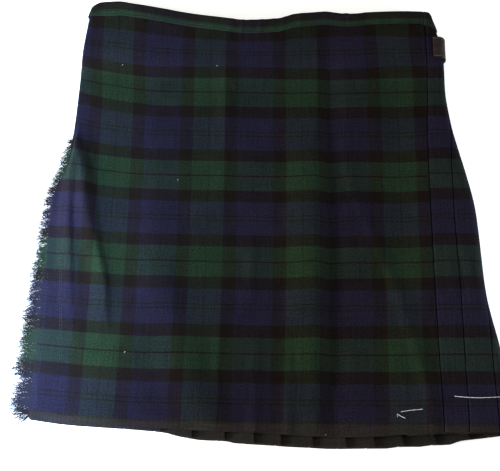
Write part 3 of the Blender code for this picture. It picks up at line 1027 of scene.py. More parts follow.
@dataclass(frozen=True)
class LeatherFinish:
    """Worn brown-grey strap leather with darkened edges."""

    name: str = "worn_strap_leather"
    face: Colour = (0.026, 0.0165, 0.0135)
    worn: Colour = (0.044, 0.031, 0.025)
    edge: Colour = (0.010, 0.0055, 0.0045)
    half_width: float = 0.016
    edge_width: float = 0.0012

    def make(self) -> bpy.types.Material:
        """Return the material."""
        graph = Graph(self.name)
        along, across = graph.cloth_places()
        at = graph.vector(along, across)
        pores = graph.node("ShaderNodeTexVoronoi", {"feature": "F1"}, {"Vector": at, "Scale": 950.0})
        grain = Number(graph, pores.outputs["Distance"])
        patches = graph.noise(at, 120.0, 5.0)
        colour = graph.blend((patches - 0.42) * 2.2, self.face, self.worn)
        rim = 1 - across.math("ABSOLUTE").below(self.half_width - self.edge_width, 0.0010)
        graph.set(
            Base_Color=graph.blend(rim * 0.85, colour, self.edge),
            Roughness=patches * 0.25 + 0.5,
            Specular_IOR_Level=0.25,
        )
        graph.bump(grain * -0.6 + patches * 0.8, 0.00025, 0.5)
        return graph.material


@dataclass(frozen=True)
class SteelFinish:
    """Plain satin steel, a little brushed."""

    name: str = "satin_steel"
    colour: Colour = (0.55, 0.55, 0.56)
    dull: Colour = (0.34, 0.33, 0.32)
    brush: Place = (60.0, 2500.0, 900.0)

    def make(self) -> bpy.types.Material:
        """Return the material."""
        graph = Graph(self.name)
        place = graph.own_place()
        stretched = graph.node("ShaderNodeMapping", {}, {"Vector": place, "Scale": self.brush})
        brushed = graph.noise(stretched.outputs[0], 1.0, 3.0)
        spots = graph.noise(place, 260.0, 4.0)
        dulled = graph.blend((spots - 0.45) * 1.6, self.colour, self.dull)
        graph.set(Base_Color=dulled, Metallic=1.0, Roughness=brushed * 0.25 + 0.2)
        graph.bump(brushed, 0.00004, 0.4)
        return graph.material


@dataclass(frozen=True)
class ThreadFinish:
    """Twisted sewing thread of one colour."""

    name: str
    colour: Colour
    roughness: float = 0.6
    shadow: float = 0.7

    def make(self) -> bpy.types.Material:
        """Return the material."""
        graph = Graph(self.name)
        twist = graph.noise(graph.own_place(), 1800.0, 2.0)
        darker = tuple(value * self.shadow for value in self.colour)
        colour = graph.blend(twist, darker, self.colour)
        graph.set(Base_Color=colour, Roughness=twist * 0.2 + self.roughness)
        graph.bump(twist, 0.0001, 0.5)
        return graph.material


STRAP_THREAD = ThreadFinish("strap_seam_thread", (0.16, 0.13, 0.11))
BASTING_THREAD = ThreadFinish("basting_thread", (0.62, 0.62, 0.60))
STAY_THREAD = ThreadFinish("stay_thread", (0.021, 0.029, 0.042), 0.8)
BAND_THREAD = ThreadFinish("band_thread", (0.048, 0.094, 0.064), 0.8)
DARK_THREAD = ThreadFinish("dark_thread", (0.004, 0.004, 0.005))


@dataclass(frozen=True)
class FloorFinish:
    """A plain pale studio floor."""

    name: str = "pale_floor"
    colour: Colour = (0.90, 0.90, 0.90)
    glow: float = 0.55

    def make(self) -> bpy.types.Material:
        """Return the material."""
        graph = Graph(self.name)
        faint = graph.noise(graph.own_place(), 3.0, 3.0)
        graph.set(
            Base_Color=self.colour,
            Roughness=faint * 0.1 + 0.85,
            Specular_IOR_Level=0.1,
            Emission_Color=(1.0, 1.0, 1.0),
            Emission_Strength=self.glow,
        )
        return graph.material


@dataclass
class Wardrobe:
    """The finishes, made once each."""

    made: dict[str, bpy.types.Material] = field(default_factory=dict)

    def dress(self, piece: bpy.types.Object, finish: object, slot: Slot | None = None) -> None:
        """Give a piece its material.

        Args:
            piece: the mesh.
            finish: a finish with a name and a make method.
            slot: the record's slot for it; not used.
        """
        if finish.name not in self.made:
            self.made[finish.name] = finish.make()
        piece.data.materials.clear()
        piece.data.materials.append(self.made[finish.name])
        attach(piece, "root")
        LOG.info("%s: %d faces, finish %s", piece.name, len(piece.data.polygons), finish.name)


# ---------------------------------------------------------------- the weave's place on the cloth


WARP_ORIGIN = 43.5
WEFT_ORIGIN = 50.5
REPEAT = 125.0
BACK_WEFT = -7.0
# The top edge lies inside a black stripe.
WEFT_TOP = 227.9
WARP_DRIFT = SmoothTable(((-300, 3.0), (-204, 2.0), (-80, 1.0), (44, 0.0), (172, 4.0), (215, 4.5)))
DIP_FROM = 216.0
# How far the weft rises at the left edge, at the right and in the middle, by its row.
LEFT_RISE = SmoothTable(
    ((-292, 8), (-137, 7), (-12, 9), (50, 12), (113, 16), (175, 20), (205, 17), (292, 16.5))
)
RIGHT_RISE = SmoothTable(((-292, 0), (50, 0), (175, 2), (238, 5), (292, 7)))
MIDDLE_RISE = SmoothTable(
    ((-292, 3), (-200, 1), (-75, -0.5), (-12, -2), (50, -3), (113, -2.5), (175, -1), (238, -1.5), (292, -2))
)
# How far the cloth is drawn up under the waistband, by x, so that its stripes dip.
WAIST_DIP = SmoothTable(
    (
        (-260, 1.5), (-244, 1), (-227, -1.3), (-200, -3.5), (-165, -2.2), (-143, -0.4), (-109, 3.6),
        (-74, 5.5), (-40, 8.9), (-10, 8.2), (14, 6.6), (30, 2.5), (55, 0), (90, -2.5), (131, -2.5),
        (152, 0), (180, 3.4), (215, 4),
    )
)


def weft_place(x: Array, y: Array) -> Array:
    """Find where points of the front lie along the flat cloth's warp.

    Args:
        x: their places across.
        y: their places along, on the finished outline.

    Returns:
        Their places on the flat cloth, in millimetres.
    """
    y = y + WAIST_DIP.value(x) * smooth((y - DIP_FROM) / 48)
    left = LEFT_RISE.value(y) * np.clip((-150 - x) / 100, 0, 1.3) ** 1.4
    right = RIGHT_RISE.value(y) * smooth((x - 110) / 60)
    return np.minimum(y - MIDDLE_RISE.value(y) - left - right - WEFT_ORIGIN, WEFT_TOP)


@dataclass
class Piece:
    """A sub-assembly, with the form that it follows and the finishes."""

    tube: LaidTube
    wardrobe: Wardrobe


@dataclass
class Cloth(Piece):
    """A cloth whose shell is made row by row, from the hem to the waist."""

    rows: int = 60
    wall: float = 0.9
    top: float = 291.0
    top_gap: float = 0.9

    def row(self, section: Section) -> Path:
        """Return one whole row."""
        raise NotImplementedError

    def along(self, section: Section, path: Path, real: Array) -> Array:
        """Return a row's places along the flat cloth, where it lies level."""
        return np.full_like(real, section.y + BACK_WEFT) - WEFT_ORIGIN

    def shell(self, name: str) -> bpy.types.Object:
        """Make the shell and give it the tartan.

        Args:
            name: the piece's name.

        Returns:
            The piece.
        """
        points, cloth = [], []
        for y in np.linspace(-self.tube.half_length, self.top, self.rows):
            section = self.tube.section(y)
            path = self.row(section)
            real = self.tube.real_y(y, path.x, path.back) - (self.top_gap if y >= self.top else 0.0)
            points.append(np.stack([path.x, real, path.z], axis=-1))
            cloth.append(np.stack([path.across, self.along(section, path, real)], axis=-1))
        piece = Bench.sheet(name, np.array(points), np.array(cloth), self.wall)
        self.wardrobe.dress(piece, TartanFinish(), Slot.TARTAN)
        return piece


@dataclass
class OverApron(Cloth):
    """The apron that shows, from its hidden edge at the right to its raw edge at the left."""

    rows: int = 142
    columns: int = 232
    edge_fade: float = 8.0
    pull: float = 3.5

    def front(self, section: Section, out: float = 0.0) -> Path:
        """Find the front of one row, from the apron's edge to its end.

        Args:
            section: the row.
            out: how far outside the cloth's middle.

        Returns:
            The front.
        """
        tube = self.tube
        end = run_of(tube.apron_end(section, out)[0])
        start = section.edge - tube.fold_run
        x = np.linspace(start, end[0][0], self.columns, endpoint=False)
        fade = smooth((start - x) / self.edge_fade)
        z = tube.front_height(x, section) + tube.relief(x, section.y) * fade + out
        x, z, back = joined((x, z, np.zeros(self.columns, bool)), end)
        across = start - run_lengths(x, z) - WARP_DRIFT.value(x) - WARP_ORIGIN
        pulled = smooth((x - 85) / 40) * smooth((section.y - 190) / 60)
        pulled += smooth((-120 - x) / 50) * smooth((section.y - 130) / 90)
        return Path(x, z, back, across + self.pull * pulled)

    def row(self, section: Section) -> Path:
        """Find one whole row, with the part that goes into the first pleat.

        Args:
            section: the row.

        Returns:
            The row.
        """
        slope = self.tube.slopes(self.tube.pleat_edges(section))[0]
        *turn, near, far = self.tube.return_layer(0.0, section.depth, slope)
        hidden = [far] + between(far, near, 5) + turn[::-1]
        x, z, back = self.tube.place(section, *np.array(hidden).T)
        front = self.front(section)
        reach = run_lengths(np.append(x, front.x[0]), np.append(z, front.z[0]))
        across = front.across[0] + reach[-1] - reach[:-1]
        return Path(*joined((x, z, back, across), front))

    def along(self, section: Section, path: Path, real: Array) -> Array:
        """Return the row's places along the flat cloth, with its dips and rises."""
        return weft_place(path.x, real)

    def build(self) -> bpy.types.Object:
        """Return the apron's shell."""
        piece = self.shell("over_apron_cloth")
        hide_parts("over_apron")
        return piece


@dataclass
class UnderApron(Cloth):
    """The apron inside the wrap, from the last pleat round the left fold to its free edge."""

    free_edge_x: float = 158.0
    columns: int = 60
    across_start: float = 20.0

    def left_fold(self, section: Section, out: float = 0.0) -> Run:
        """Find the left fold, from the underside to the front.

        Args:
            section: the row.
            out: how far outside the cloth's middle.

        Returns:
            Its x, z and back.
        """
        radius = self.tube.under_fold_radius
        middle = radius + section.left + section.set_back + section.band
        return run_of(self.tube.left_arc(middle, section.hug + radius, radius + out, 180, 8)[::-1])

    def front(self, section: Section, out: float = 0.0) -> Run:
        """Find the layer below the over-apron, from the left fold to the free edge.

        Args:
            section: the row.
            out: how far outside the cloth's middle.

        Returns:
            Its x, z and back.
        """
        start = self.left_fold(section)[0][-1]
        x = np.linspace(start, self.free_edge_x, self.columns + 1)[1:]
        z = self.tube.front_height(x, section) - self.tube.layer - section.band + out
        return x, z, np.zeros(self.columns, bool)

    def row(self, section: Section) -> Path:
        """Find one whole row.

        Args:
            section: the row.

        Returns:
            The row.
        """
        tube = self.tube
        edges = tube.pleat_edges(section)
        near, far = tube.forward_layer(edges[-1], section.depth, tube.slopes(edges)[-1])[-2:]
        arc = self.left_fold(section)
        hug_end = mix(tube.hug_end_x, arc[0][0], 0.6)
        base = tube.lengths(section)[1] + section.right - section.radius
        inner = [near] + between(near, far, 6) + tube.step(edges[-1], (0.3, 0.6, 1.0))
        inner += [(base - x, 0.0) for x in np.linspace(tube.hug_start_x, hug_end, 12)]
        inside = tube.place(section, *np.array(inner).T)
        x, z, back = joined(inside, arc, self.front(section))
        return Path(x, z, back, run_lengths(x, z) + self.across_start)

    def build(self) -> bpy.types.Object:
        """Return the apron's shell."""
        piece = self.shell("under_apron_cloth")
        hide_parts("under_apron")
        return piece


class FaceFold(NamedTuple):
    """A fold on one pleat's face. Its crest and run are shares of the face's width."""

    height: float
    crest: float
    crest_y: float
    drift: float
    run: float
    middle_y: float
    half_length: float


FACE_FOLDS = {
    1: FaceFold(1.5, 0.60, -40.0, 0.0016, 0.22, -95.0, 75.0),
    2: FaceFold(2.0, 0.20, -70.0, 0.0022, 0.20, -85.0, 55.0),
}


@dataclass
class PleatedBack(Cloth):
    """The knife pleats: three faces beside the apron, the rest on the underside."""

    rows: int = 64
    first_centre: float = 356.0
    first_hidden: float = 45.0
    seen_pleats: int = 3
    fine_pleats: int = 4
    # The share of the way inside a pleat, and the share of the tartan that has passed by then.
    inside: tuple[tuple[float, ...], tuple[float, ...]] = ((0, 0.5, 0.93, 1), (0, 0.26, 0.74, 1))

    def puff(self, number: int, share: Array, y: float) -> Array:
        """Find how far a pleat's face stands out.

        Args:
            number: the pleat, from 1 beside the apron.
            share: the way across its face, from 0 to 1.
            y: the nominal row.

        Returns:
            The height above the plain form.
        """
        if number > self.seen_pleats:
            return np.zeros_like(share)
        wave = np.array([noise.noise(Vector((a * 1.6 + 7 * number, y / 95, 2.2))) for a in share])
        bulge = np.sin(np.pi * np.clip(share, 0, 1)) * (0.35 + 0.7 * np.maximum(wave, -0.3))
        if number in FACE_FOLDS:
            fold = FACE_FOLDS[number]
            crest = fold.crest - fold.drift * (y - fold.crest_y)
            length = bulge_at(y, fold.middle_y, fold.half_length)
            bulge += fold.height * bulge_at(share, crest, fold.run) * length
        return bulge * float(smooth((200 - y) / 60))

    def face(self, number: int, start: float, edge: float, y: float) -> list[tuple[float, float]]:
        """Find a pleat's face, with the step down to it.

        Args:
            number: the pleat, from 1 beside the apron.
            start: the knife edge before it, along the tube.
            edge: its own.
            y: the nominal row.

        Returns:
            Places along the tube and inside it.
        """
        share = np.linspace(0, 1, 15 if number <= self.fine_pleats else 4)
        along = mix(start + self.tube.step_run, edge - self.tube.fold_run, share)
        return self.tube.step(start, (0.25, 0.5, 0.75)) + list(zip(along, -self.puff(number, share, y)))

    def fold(self, number: int, edge: float, depth: float, slope: float) -> list[tuple[float, float]]:
        """Find the layers behind a pleat's knife edge.

        Args:
            number: the pleat, from 1 beside the apron.
            edge: its knife edge, along the tube.
            depth: how far its inner fold lies behind it.
            slope: how steeply its layers lean.

        Returns:
            Places along the tube and inside it.
        """
        layers = self.tube.return_layer(edge, depth, slope)
        if number < self.tube.pleats:
            layers += self.tube.forward_layer(edge, depth, slope)
        places = [layers[0]]
        for a, b in zip(layers, layers[1:]):
            long_pieces = 6 if number <= self.fine_pleats + 1 else 2
            places += between(a, b, 1 if abs(b[0] - a[0]) < 8 else long_pieces)
        return places

    def row(self, section: Section) -> Path:
        """Find one whole row of pleats.

        Args:
            section: the row.

        Returns:
            The row.
        """
        tube = self.tube
        edges = tube.pleat_edges(section)
        slopes = tube.slopes(edges)
        places = tube.forward_layer(edges[0], section.depth, slopes[0])[-2:]
        face_start = self.first_centre - (edges[1] - edges[0]) / 2
        across = [face_start - self.first_hidden, face_start]
        for number in range(1, tube.pleats + 1):
            start, edge = edges[number - 1], edges[number]
            centre = self.first_centre + REPEAT * (number - 1)
            face = self.face(number, start, edge, section.y)
            across += [centre + place - (start + edge) / 2 for place, _ in face]
            hidden = self.fold(number, edge, section.depth, slopes[number])
            reach = run_lengths(*np.array([face[-1]] + hidden).T)[1:]
            to_go = reach[-1]
            if number < tube.pleats:
                to_go = centre + REPEAT - (edges[number + 1] - edge) / 2 - across[-1]
            across += list(across[-1] + np.interp(reach / reach[-1], *self.inside) * to_go)
            places += face + hidden
        x, z, back = tube.place(section, *np.array(places).T)
        return Path(x, z, back, np.array(across) - WARP_ORIGIN)

    def along(self, section: Section, path: Path, real: Array) -> Array:
        """Find the row's places along the flat cloth, which is level on the underside.

        Args:
            section: the row.
            path: its points.
            real: their places along, on the finished outline.

        Returns:
            The places, in millimetres.
        """
        crown = section.low + 2 * section.radius - 2.0
        under = smooth((crown - path.z) / (2 * section.radius - 3.0))
        return mix(real - 1.5, section.y + BACK_WEFT, under) - WEFT_ORIGIN

    def build(self) -> bpy.types.Object:
        """Return the pleats' shell."""
        piece = self.shell("pleated_back_cloth")
        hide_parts("pleated_back")
        return piece


def corner_level(x: Array) -> Array:
    """Return how far a line below the waist rises left of the corner, to stay level."""
    return (CORNER_LEVEL - FRONT_TOP.value(x)) * smooth((CORNER_X - x) / CORNER_RUN)


def band_trim(x: Array, right: float, middle: float) -> Array:
    """Return how far the band's lower line rises at the right and sinks in the middle."""
    return right * smooth((x - 60) / 100) - middle * bulge_at(x, -5, 90)


class Side(Enum):
    """Which waistband, with the way in which its lip turns."""

    APRON = -1
    BACK = 1

    def name_of_node(self) -> str:
        """Return the CAD node's name."""
        return f"waistband_{self.name.lower()}"


@dataclass
class Waistband(Piece):
    """A folded strip over the cloth's top: the leaf that shows, and the lip that closes over the edge."""

    side: Side = Side.APRON
    apron: OverApron | None = None
    under: UnderApron | None = None
    height: float = 20.0
    top: float = 291.0
    band_out: float = 1.8
    reach: float = 1.0
    # The lower edge's first rows: how far up, and how far sunk towards the cloth.
    rolled_edge: tuple[tuple[float, float], ...] = ((0.0, 0.75), (0.25, 0.14), (0.8, 0.0))
    lips: tuple[float, float] = (1.9, 3.0)
    trim: tuple[float, float] = (1.7, 0.9)
    green_height: float = 9.0
    # Painted shade: the leaf's lowest rows are moved this far along the cloth, into a black stripe, as a
    # dark line for the shade at the rolled edge.
    edge_shade_shift: float = 12.0
    back_start: float = 452.0
    wall: float = 0.6
    finish: TartanFinish = TartanFinish(
        "tartan_band", green=(0.0118, 0.0255, 0.0125), black=(0.0105, 0.0078, 0.0066), weft_share=0.8
    )
    strip: SmoothTable = SmoothTable(
        ((-300, -88), (-212, 0), (-76, 125), (20, 250), (158, 375), (236, 453))
    )
    turned_in: tuple[float, ...] = (-3.0, -0.4, 1.4)

    def path(self, section: Section, sunk: float) -> Path:
        """Find one row of the leaf.

        Args:
            section: the row.
            sunk: how far it is sunk towards the cloth.

        Returns:
            The row.
        """
        tube = self.tube
        if self.side is Side.APRON:
            front = self.apron.front(section, tube.layer - sunk)
            front.x[0] += self.reach
            return Path(front.x, front.z, front.back, self.strip.value(front.x))
        start, end, last = tube.lengths(section)
        stops = np.concatenate([
            self.turned_in,
            np.linspace(3.0, start, 7, endpoint=False),
            np.linspace(start, end, 24, endpoint=False),
            np.linspace(end, last, 60),
        ])
        out = (self.band_out - sunk) * smooth((stops + 0.4) / 1.8)
        over = tube.layer - sunk
        fold, front = self.under.left_fold(section, over), self.under.front(section, over)
        x, z, back = joined(tube.place(section, stops, -out), fold, front)
        return Path(x, z, back, run_lengths(x, z) + self.back_start)

    def build(self) -> bpy.types.Object:
        """Return the band's shell."""
        tube = self.tube
        lip = self.lips[0] if self.side is Side.APRON else self.lips[1]
        leaf = [*self.rolled_edge, *((2.0 + 2.0 * i, 0.0) for i in range(10))]
        turns = [math.radians(18 * i) for i in range(1, 6)]
        rows = [(up, sunk, 0.0, 0.0) for up, sunk in leaf]
        rows += [(self.height, 0.0, tube.layer * math.sin(a), lip * (1 - math.cos(a))) for a in turns]
        points, cloth = [], []
        for up, sunk, rise, inward in rows:
            y = self.top - self.height + up
            path = self.path(tube.section(y), sunk)
            real = tube.real_y(y, path.x, path.back)
            if self.side is Side.APRON:
                rise_here = corner_level(path.x) + band_trim(path.x, *self.trim)
                real = real + rise_here * (1 - up / self.height)
            x, z = moved_across(path.x, path.z, self.side.value * inward) if inward else (path.x, path.z)
            points.append(np.stack([x, real + rise, z], axis=-1))
            along = up + rise + inward - self.green_height + TartanFinish.green_to * REPEAT
            # Painted shade: a dark line along the rolled edge.
            along += self.edge_shade_shift if up < 0.5 else 0.0
            cloth.append(np.stack([path.across, np.full_like(x, along)], axis=-1))
        name = self.side.name_of_node()
        piece = Bench.sheet(f"{name}_cloth", np.array(points), np.array(cloth), self.wall)
        self.wardrobe.dress(piece, self.finish, Slot.TARTAN)
        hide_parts(name)
        return piece


@dataclass
class Fringe(Piece):
    """Loose weft yarns along the over-apron's raw edge, in locks that spread."""

    node: str = "apron_fringe"
    lowest: float = -288.0
    highest: float = 91.0
    seed: int = 11
    reach: float = 1.0
    pitch: SmoothTable = SmoothTable(((-292, 1.5), (-110, 1.7), (-60, 2.2), (30, 3.0), (100, 3.2)))
    yarns: int = 10
    steps: int = 7
    radius: float = 0.42
    taper: float = 0.45
    rooted: float = 1.6
    lowest_z: float = 0.45
    # Each pair below is a mean and a spread, or a least and a most.
    lock_lean: tuple[float, float] = (-0.08, 0.30)
    lock_length: tuple[float, float] = (1.05, 1.45)
    yarn_bend: tuple[float, float] = (0.0, 0.35)
    yarn_lean: tuple[float, float] = (0.0, 0.22)
    yarn_length: tuple[float, float] = (0.5, 1.06)
    curl: tuple[float, float] = (0.2, 1.1)
    beat: tuple[float, float] = (2.0, 4.5)
    settled: tuple[float, float] = (0.5, 2.6)

    def yarn(
        self, rng: random.Random, root: Place, way: tuple[float, float], lean: float, reach: float
    ) -> Array:
        """Draw one yarn.

        Args:
            rng: the random numbers.
            root: where it leaves the cloth.
            way: the direction in which the cloth's end points, in x and z.
            lean: its lock's angle.
            reach: its lock's length.

        Returns:
            The yarn's points.
        """
        bend = rng.gauss(*self.yarn_bend)
        angle = lean + rng.gauss(*self.yarn_lean)
        own = reach * rng.uniform(*self.yarn_length)
        curl, beat, phase = rng.uniform(*self.curl), rng.uniform(*self.beat), rng.uniform(0, math.tau)
        floor = rng.uniform(*self.settled)
        t = np.arange(self.steps + 1) / self.steps
        turn = angle + bend * t
        out = own * t - self.rooted
        swing = beat * math.tau * t / 2 + phase
        wave = curl * np.sin(swing) * t
        x = root[0] + way[0] * (out * np.cos(turn) - wave * 0.4)
        y = root[1] + np.maximum(out, 0.0) * np.sin(turn) + wave
        z = root[2] + way[1] * out + curl * 0.8 * np.cos(swing) * t
        z = np.maximum(mix(z, floor, 0.45 * t * t), self.lowest_z)
        return np.stack([x, y, z], axis=-1)

    def lines(self) -> tuple[list[Array], list[tuple[float, float]]]:
        """Draw every lock of yarns.

        Returns:
            Each yarn's points, and its place on the flat cloth.
        """
        rng = random.Random(self.seed)
        lines, cloth = [], []
        y = self.lowest
        while y < self.highest:
            pitch = float(self.pitch.value(y))
            section = self.tube.section(y)
            end, way = self.tube.apron_end(section)
            x, z, back = end[-1]
            real = float(self.tube.real_y(y, np.array([x]), np.array([back]))[0])
            lean = rng.gauss(*self.lock_lean)
            reach = section.strand * self.reach * rng.uniform(*self.lock_length)
            for _ in range(self.yarns):
                root = (x, real + rng.uniform(-0.8, 0.8) * pitch, z)
                lines.append(self.yarn(rng, root, way, lean, reach))
                cloth.append((rng.uniform(0, 400), float(weft_place(np.array(x), np.array(root[1])))))
            y += pitch
        return lines, cloth

    def build(self) -> bpy.types.Object:
        """Return the yarns as one mesh."""
        lines, cloth = self.lines()
        piece = Bench.strands(f"{self.node}_yarns", lines, self.radius, self.taper, cloth)
        self.wardrobe.dress(piece, YarnFinish(), Slot.YARN)
        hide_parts(self.node)
        return piece


class Stitch(NamedTuple):
    """One stitch's length, the gap to the next, and the thread's radius."""

    length: float
    gap: float
    radius: float


StrapPath = Callable[[Section], tuple[Array, Array]]


@dataclass
class StrapSeat(Piece):
    """Where the straps lie."""

    width: float = 32.0
    middle_y: float = 241.0
    leather: float = 2.0

    def strap_line(self, path_of: StrapPath, up: float) -> tuple[Array, Array, Array]:
        """Find one line along a strap.

        Args:
            path_of: the row's x and z.
            up: the line's place from the strap's middle.

        Returns:
            Its x, y and z.
        """
        section = self.tube.section(self.middle_y + up)
        x, z = path_of(section)
        edge = np.full_like(x, self.tube.strap_x)
        return x, self.tube.real_y(section.y, edge, np.ones(len(x), bool)), z

    def strap(self, name: str, path_of: StrapPath, across: Array) -> bpy.types.Object:
        """Make a leather strip.

        Args:
            name: the piece's name.
            path_of: the row's x and z.
            across: the rows, from the strap's middle.

        Returns:
            The strip, with its edges rounded.
        """
        points, cloth = [], []
        for up in across:
            x, real, z = self.strap_line(path_of, up)
            points.append(np.stack([x, real, z], axis=-1))
            cloth.append(np.stack([run_lengths(x, z), np.full_like(x, up)], axis=-1))
        piece = Bench.sheet(name, np.array(points), np.array(cloth), self.leather - 0.2)
        sharp = math.radians(60)
        Bench.modify(piece, "BEVEL", width=0.4 * MM, segments=2, limit_method="ANGLE", angle_limit=sharp)
        Bench.shade(piece, 50.0)
        return piece

    def stitches(self, name: str, line: Array, stitch: Stitch, finish: ThreadFinish) -> bpy.types.Object:
        """Sew along a line.

        Args:
            name: the piece's name.
            line: its points in millimetres, on the surface.
            stitch: how it is sewn.
            finish: the thread.

        Returns:
            The stitches as one piece.
        """
        reach = run_lengths(*line.T)
        sewn = []
        at = stitch.gap
        while at + stitch.length < reach[-1]:
            stops = np.linspace(at, at + stitch.length, 4)
            points = np.stack([np.interp(stops, reach, places) for places in line.T], axis=-1)
            points[[0, -1], 2] -= stitch.radius * 1.4
            sewn.append(points)
            at += stitch.length + stitch.gap
        piece = Bench.strands(name, sewn, stitch.radius, 1.0)
        self.wardrobe.dress(piece, finish)
        return piece


@dataclass
class Straps(StrapSeat):
    """The right hip's leather tab, the apron's strap on the underside, and their seams."""

    tab_start: float = 10.0
    tab_end_x: float = 196.0
    tab_out: float = 2.9
    apron_strap_x: tuple[float, float] = (-212.0, -128.0)
    strap_gap: float = 0.9
    seam_up: float = 13.6
    stitch: Stitch = Stitch(2.4, 0.9, 0.28)

    def tab_path(self, section: Section) -> tuple[Array, Array]:
        """Find the hip tab's path over the right fold, which is that of its lowest row.

        Args:
            section: the row, which isn't needed.

        Returns:
            Its x and z.
        """
        section = self.tube.section(self.middle_y - self.width / 2)
        start, end, _ = self.tube.lengths(section)
        last = end + section.right - section.radius - self.tab_end_x
        stops = np.concatenate([
            np.linspace(self.tab_start, start, 5, endpoint=False),
            np.linspace(start, end, 22, endpoint=False),
            np.linspace(end, last, 7),
        ])
        x, z, _ = self.tube.place(section, stops, -self.tab_out)
        return x, z

    def apron_path(self, section: Section) -> tuple[Array, Array]:
        """Find the straight path of the apron's strap.

        Args:
            section: the row.

        Returns:
            Its x and z.
        """
        x = np.linspace(*self.apron_strap_x, 14)
        z = section.hug - self.tube.layer - section.band - self.strap_gap - self.leather / 2
        return x, np.full_like(x, z)

    def seam(self, up: float, path_of: StrapPath, lift: float) -> Array:
        """Find a seam's line on a strap.

        Args:
            up: its place from the strap's middle.
            path_of: the row's x and z.
            lift: how far it lies above the strap's middle, or below where negative.

        Returns:
            Its points.
        """
        x, real, z = self.strap_line(path_of, up)
        if lift > 0:
            x, z = moved_across(x, z, -lift)
        else:
            z = z + lift
        return np.stack([x, real, z], axis=-1)

    def build(self) -> list[bpy.types.Object]:
        """Return the straps and their seams."""
        rows = np.linspace(-self.width / 2, self.width / 2, 11)
        tab = self.strap("hip_tab_leather", self.tab_path, rows)
        strap = self.strap("apron_strap_leather", self.apron_path, rows)
        for piece, node in ((tab, "hip_tab"), (strap, "apron_strap")):
            self.wardrobe.dress(piece, LeatherFinish(), Slot.LEATHER)
            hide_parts(node)
        half = self.leather / 2
        for side, up in (("low", -self.seam_up), ("high", self.seam_up)):
            for name, path_of, lift in (("tab", self.tab_path, half), ("strap", self.apron_path, -half)):
                line = self.seam(up, path_of, lift)
                self.stitches(f"{name}_seam_{side}", line, self.stitch, STRAP_THREAD)
        nick = np.array(((235.7, 247.6, 22.1), (236.3, 248.4, 21.8), (236.9, 249.2, 21.4)))
        self.wardrobe.dress(Bench.strands("tab_nick", [nick], 0.45, 0.8), BASTING_THREAD)
        return [tab, strap]


@dataclass
class Buckle(StrapSeat):
    """A flat frame with a round bar and a tongue."""

    node: str = "hip_buckle"
    x: float = 205.0
    z: float = 2.5
    size: Place = (26.0, 42.0, 1.8)
    rim: float = 3.5
    bevel: float = 0.7
    bar: tuple[float, float] = (2.0, 0.75)
    tongue: float = 0.55
    tongue_back: float = 2.4
    tongue_short: float = 0.6
    tongue_bow: float = 0.25

    def build(self) -> bpy.types.Object:
        """Return the buckle as one piece."""
        y = float(self.tube.real_y(self.middle_y, np.array([self.tube.strap_x]), np.array([True]))[0])
        length, width, height = self.size
        Bench.clear()
        bpy.ops.mesh.primitive_cube_add(size=1.0, scale=(length * MM, width * MM, height * MM))
        frame = Bench.added(f"{self.node}_frame")
        Bench.freeze(frame)
        bpy.ops.object.mode_set(mode="EDIT")
        bpy.ops.mesh.select_all(action="DESELECT")
        bpy.ops.object.mode_set(mode="OBJECT")
        for face in frame.data.polygons:
            face.select = abs(face.normal.z) > 0.9
        bpy.ops.object.mode_set(mode="EDIT")
        bpy.ops.mesh.inset(thickness=self.rim * MM)
        bpy.ops.mesh.bridge_edge_loops()
        bpy.ops.object.mode_set(mode="OBJECT")
        Bench.modify(frame, "BEVEL", width=self.bevel * MM, segments=4, limit_method="ANGLE")
        Bench.clear()
        bpy.ops.mesh.primitive_cylinder_add(
            vertices=24, radius=MM, depth=(width - self.rim) * MM, rotation=(math.pi / 2, 0, 0)
        )
        bar = Bench.added(f"{self.node}_bar")
        Bench.freeze(bar)
        bar.scale = (self.bar[0], 1.0, self.bar[1])
        Bench.freeze(bar)
        reach = length / 2 - self.tongue_short + self.tongue_back
        t = np.linspace(0, 1, 12)
        bow = self.tongue_bow * np.cos(t * math.pi * 1.1)
        line = np.stack([self.tongue_back - t * reach, 0.0 * t, bow], axis=-1)
        tongue = Bench.strands(f"{self.node}_tongue", [line], self.tongue, 0.7)
        piece = Bench.join([frame, bar, tongue], f"{self.node}_metal")
        piece.location = (self.x * MM, y * MM, self.z * MM)
        Bench.freeze(piece)
        Bench.shade(piece, 40.0)
        self.wardrobe.dress(piece, SteelFinish(), Slot.STEEL)
        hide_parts(self.node)
        return piece


# Each basting thread's name, its corners, and then how high it lies and its radius.
BASTING = (
    ("basting_hem", ((228.7, -251.6), (242.4, -252.9), (256.0, -253.5), (284.5, -252.2)), 2.0, 0.42),
    ("basting_corner", ((190.3, -267.3), (177.0, -268.5), (164.3, -270.4)), 0.9, 0.42),
    ("basting_end", ((169.3, -278.6), (162.5, -275.0), (159.5, -273.0), (160.0, -277.1)), 0.9, 0.35),
)
# Each row of stay stitches' name, its way in from the left edge, its ends and its lean.
STAYS = (
    ("stay_outer", 4.6, -272, -90, 0.0), ("stay_inner", 6.8, -272, -110, 0.0),
    ("stay_far", 21.5, -210, -58, 0.09), ("stay_near", 24.0, -206, -64, 0.09),
)
LINT = ((-200.6, 215.2), (-71.5, 213.8), (-173.8, -198.9), (72.9, -299.0), (-118.0, 40.0))


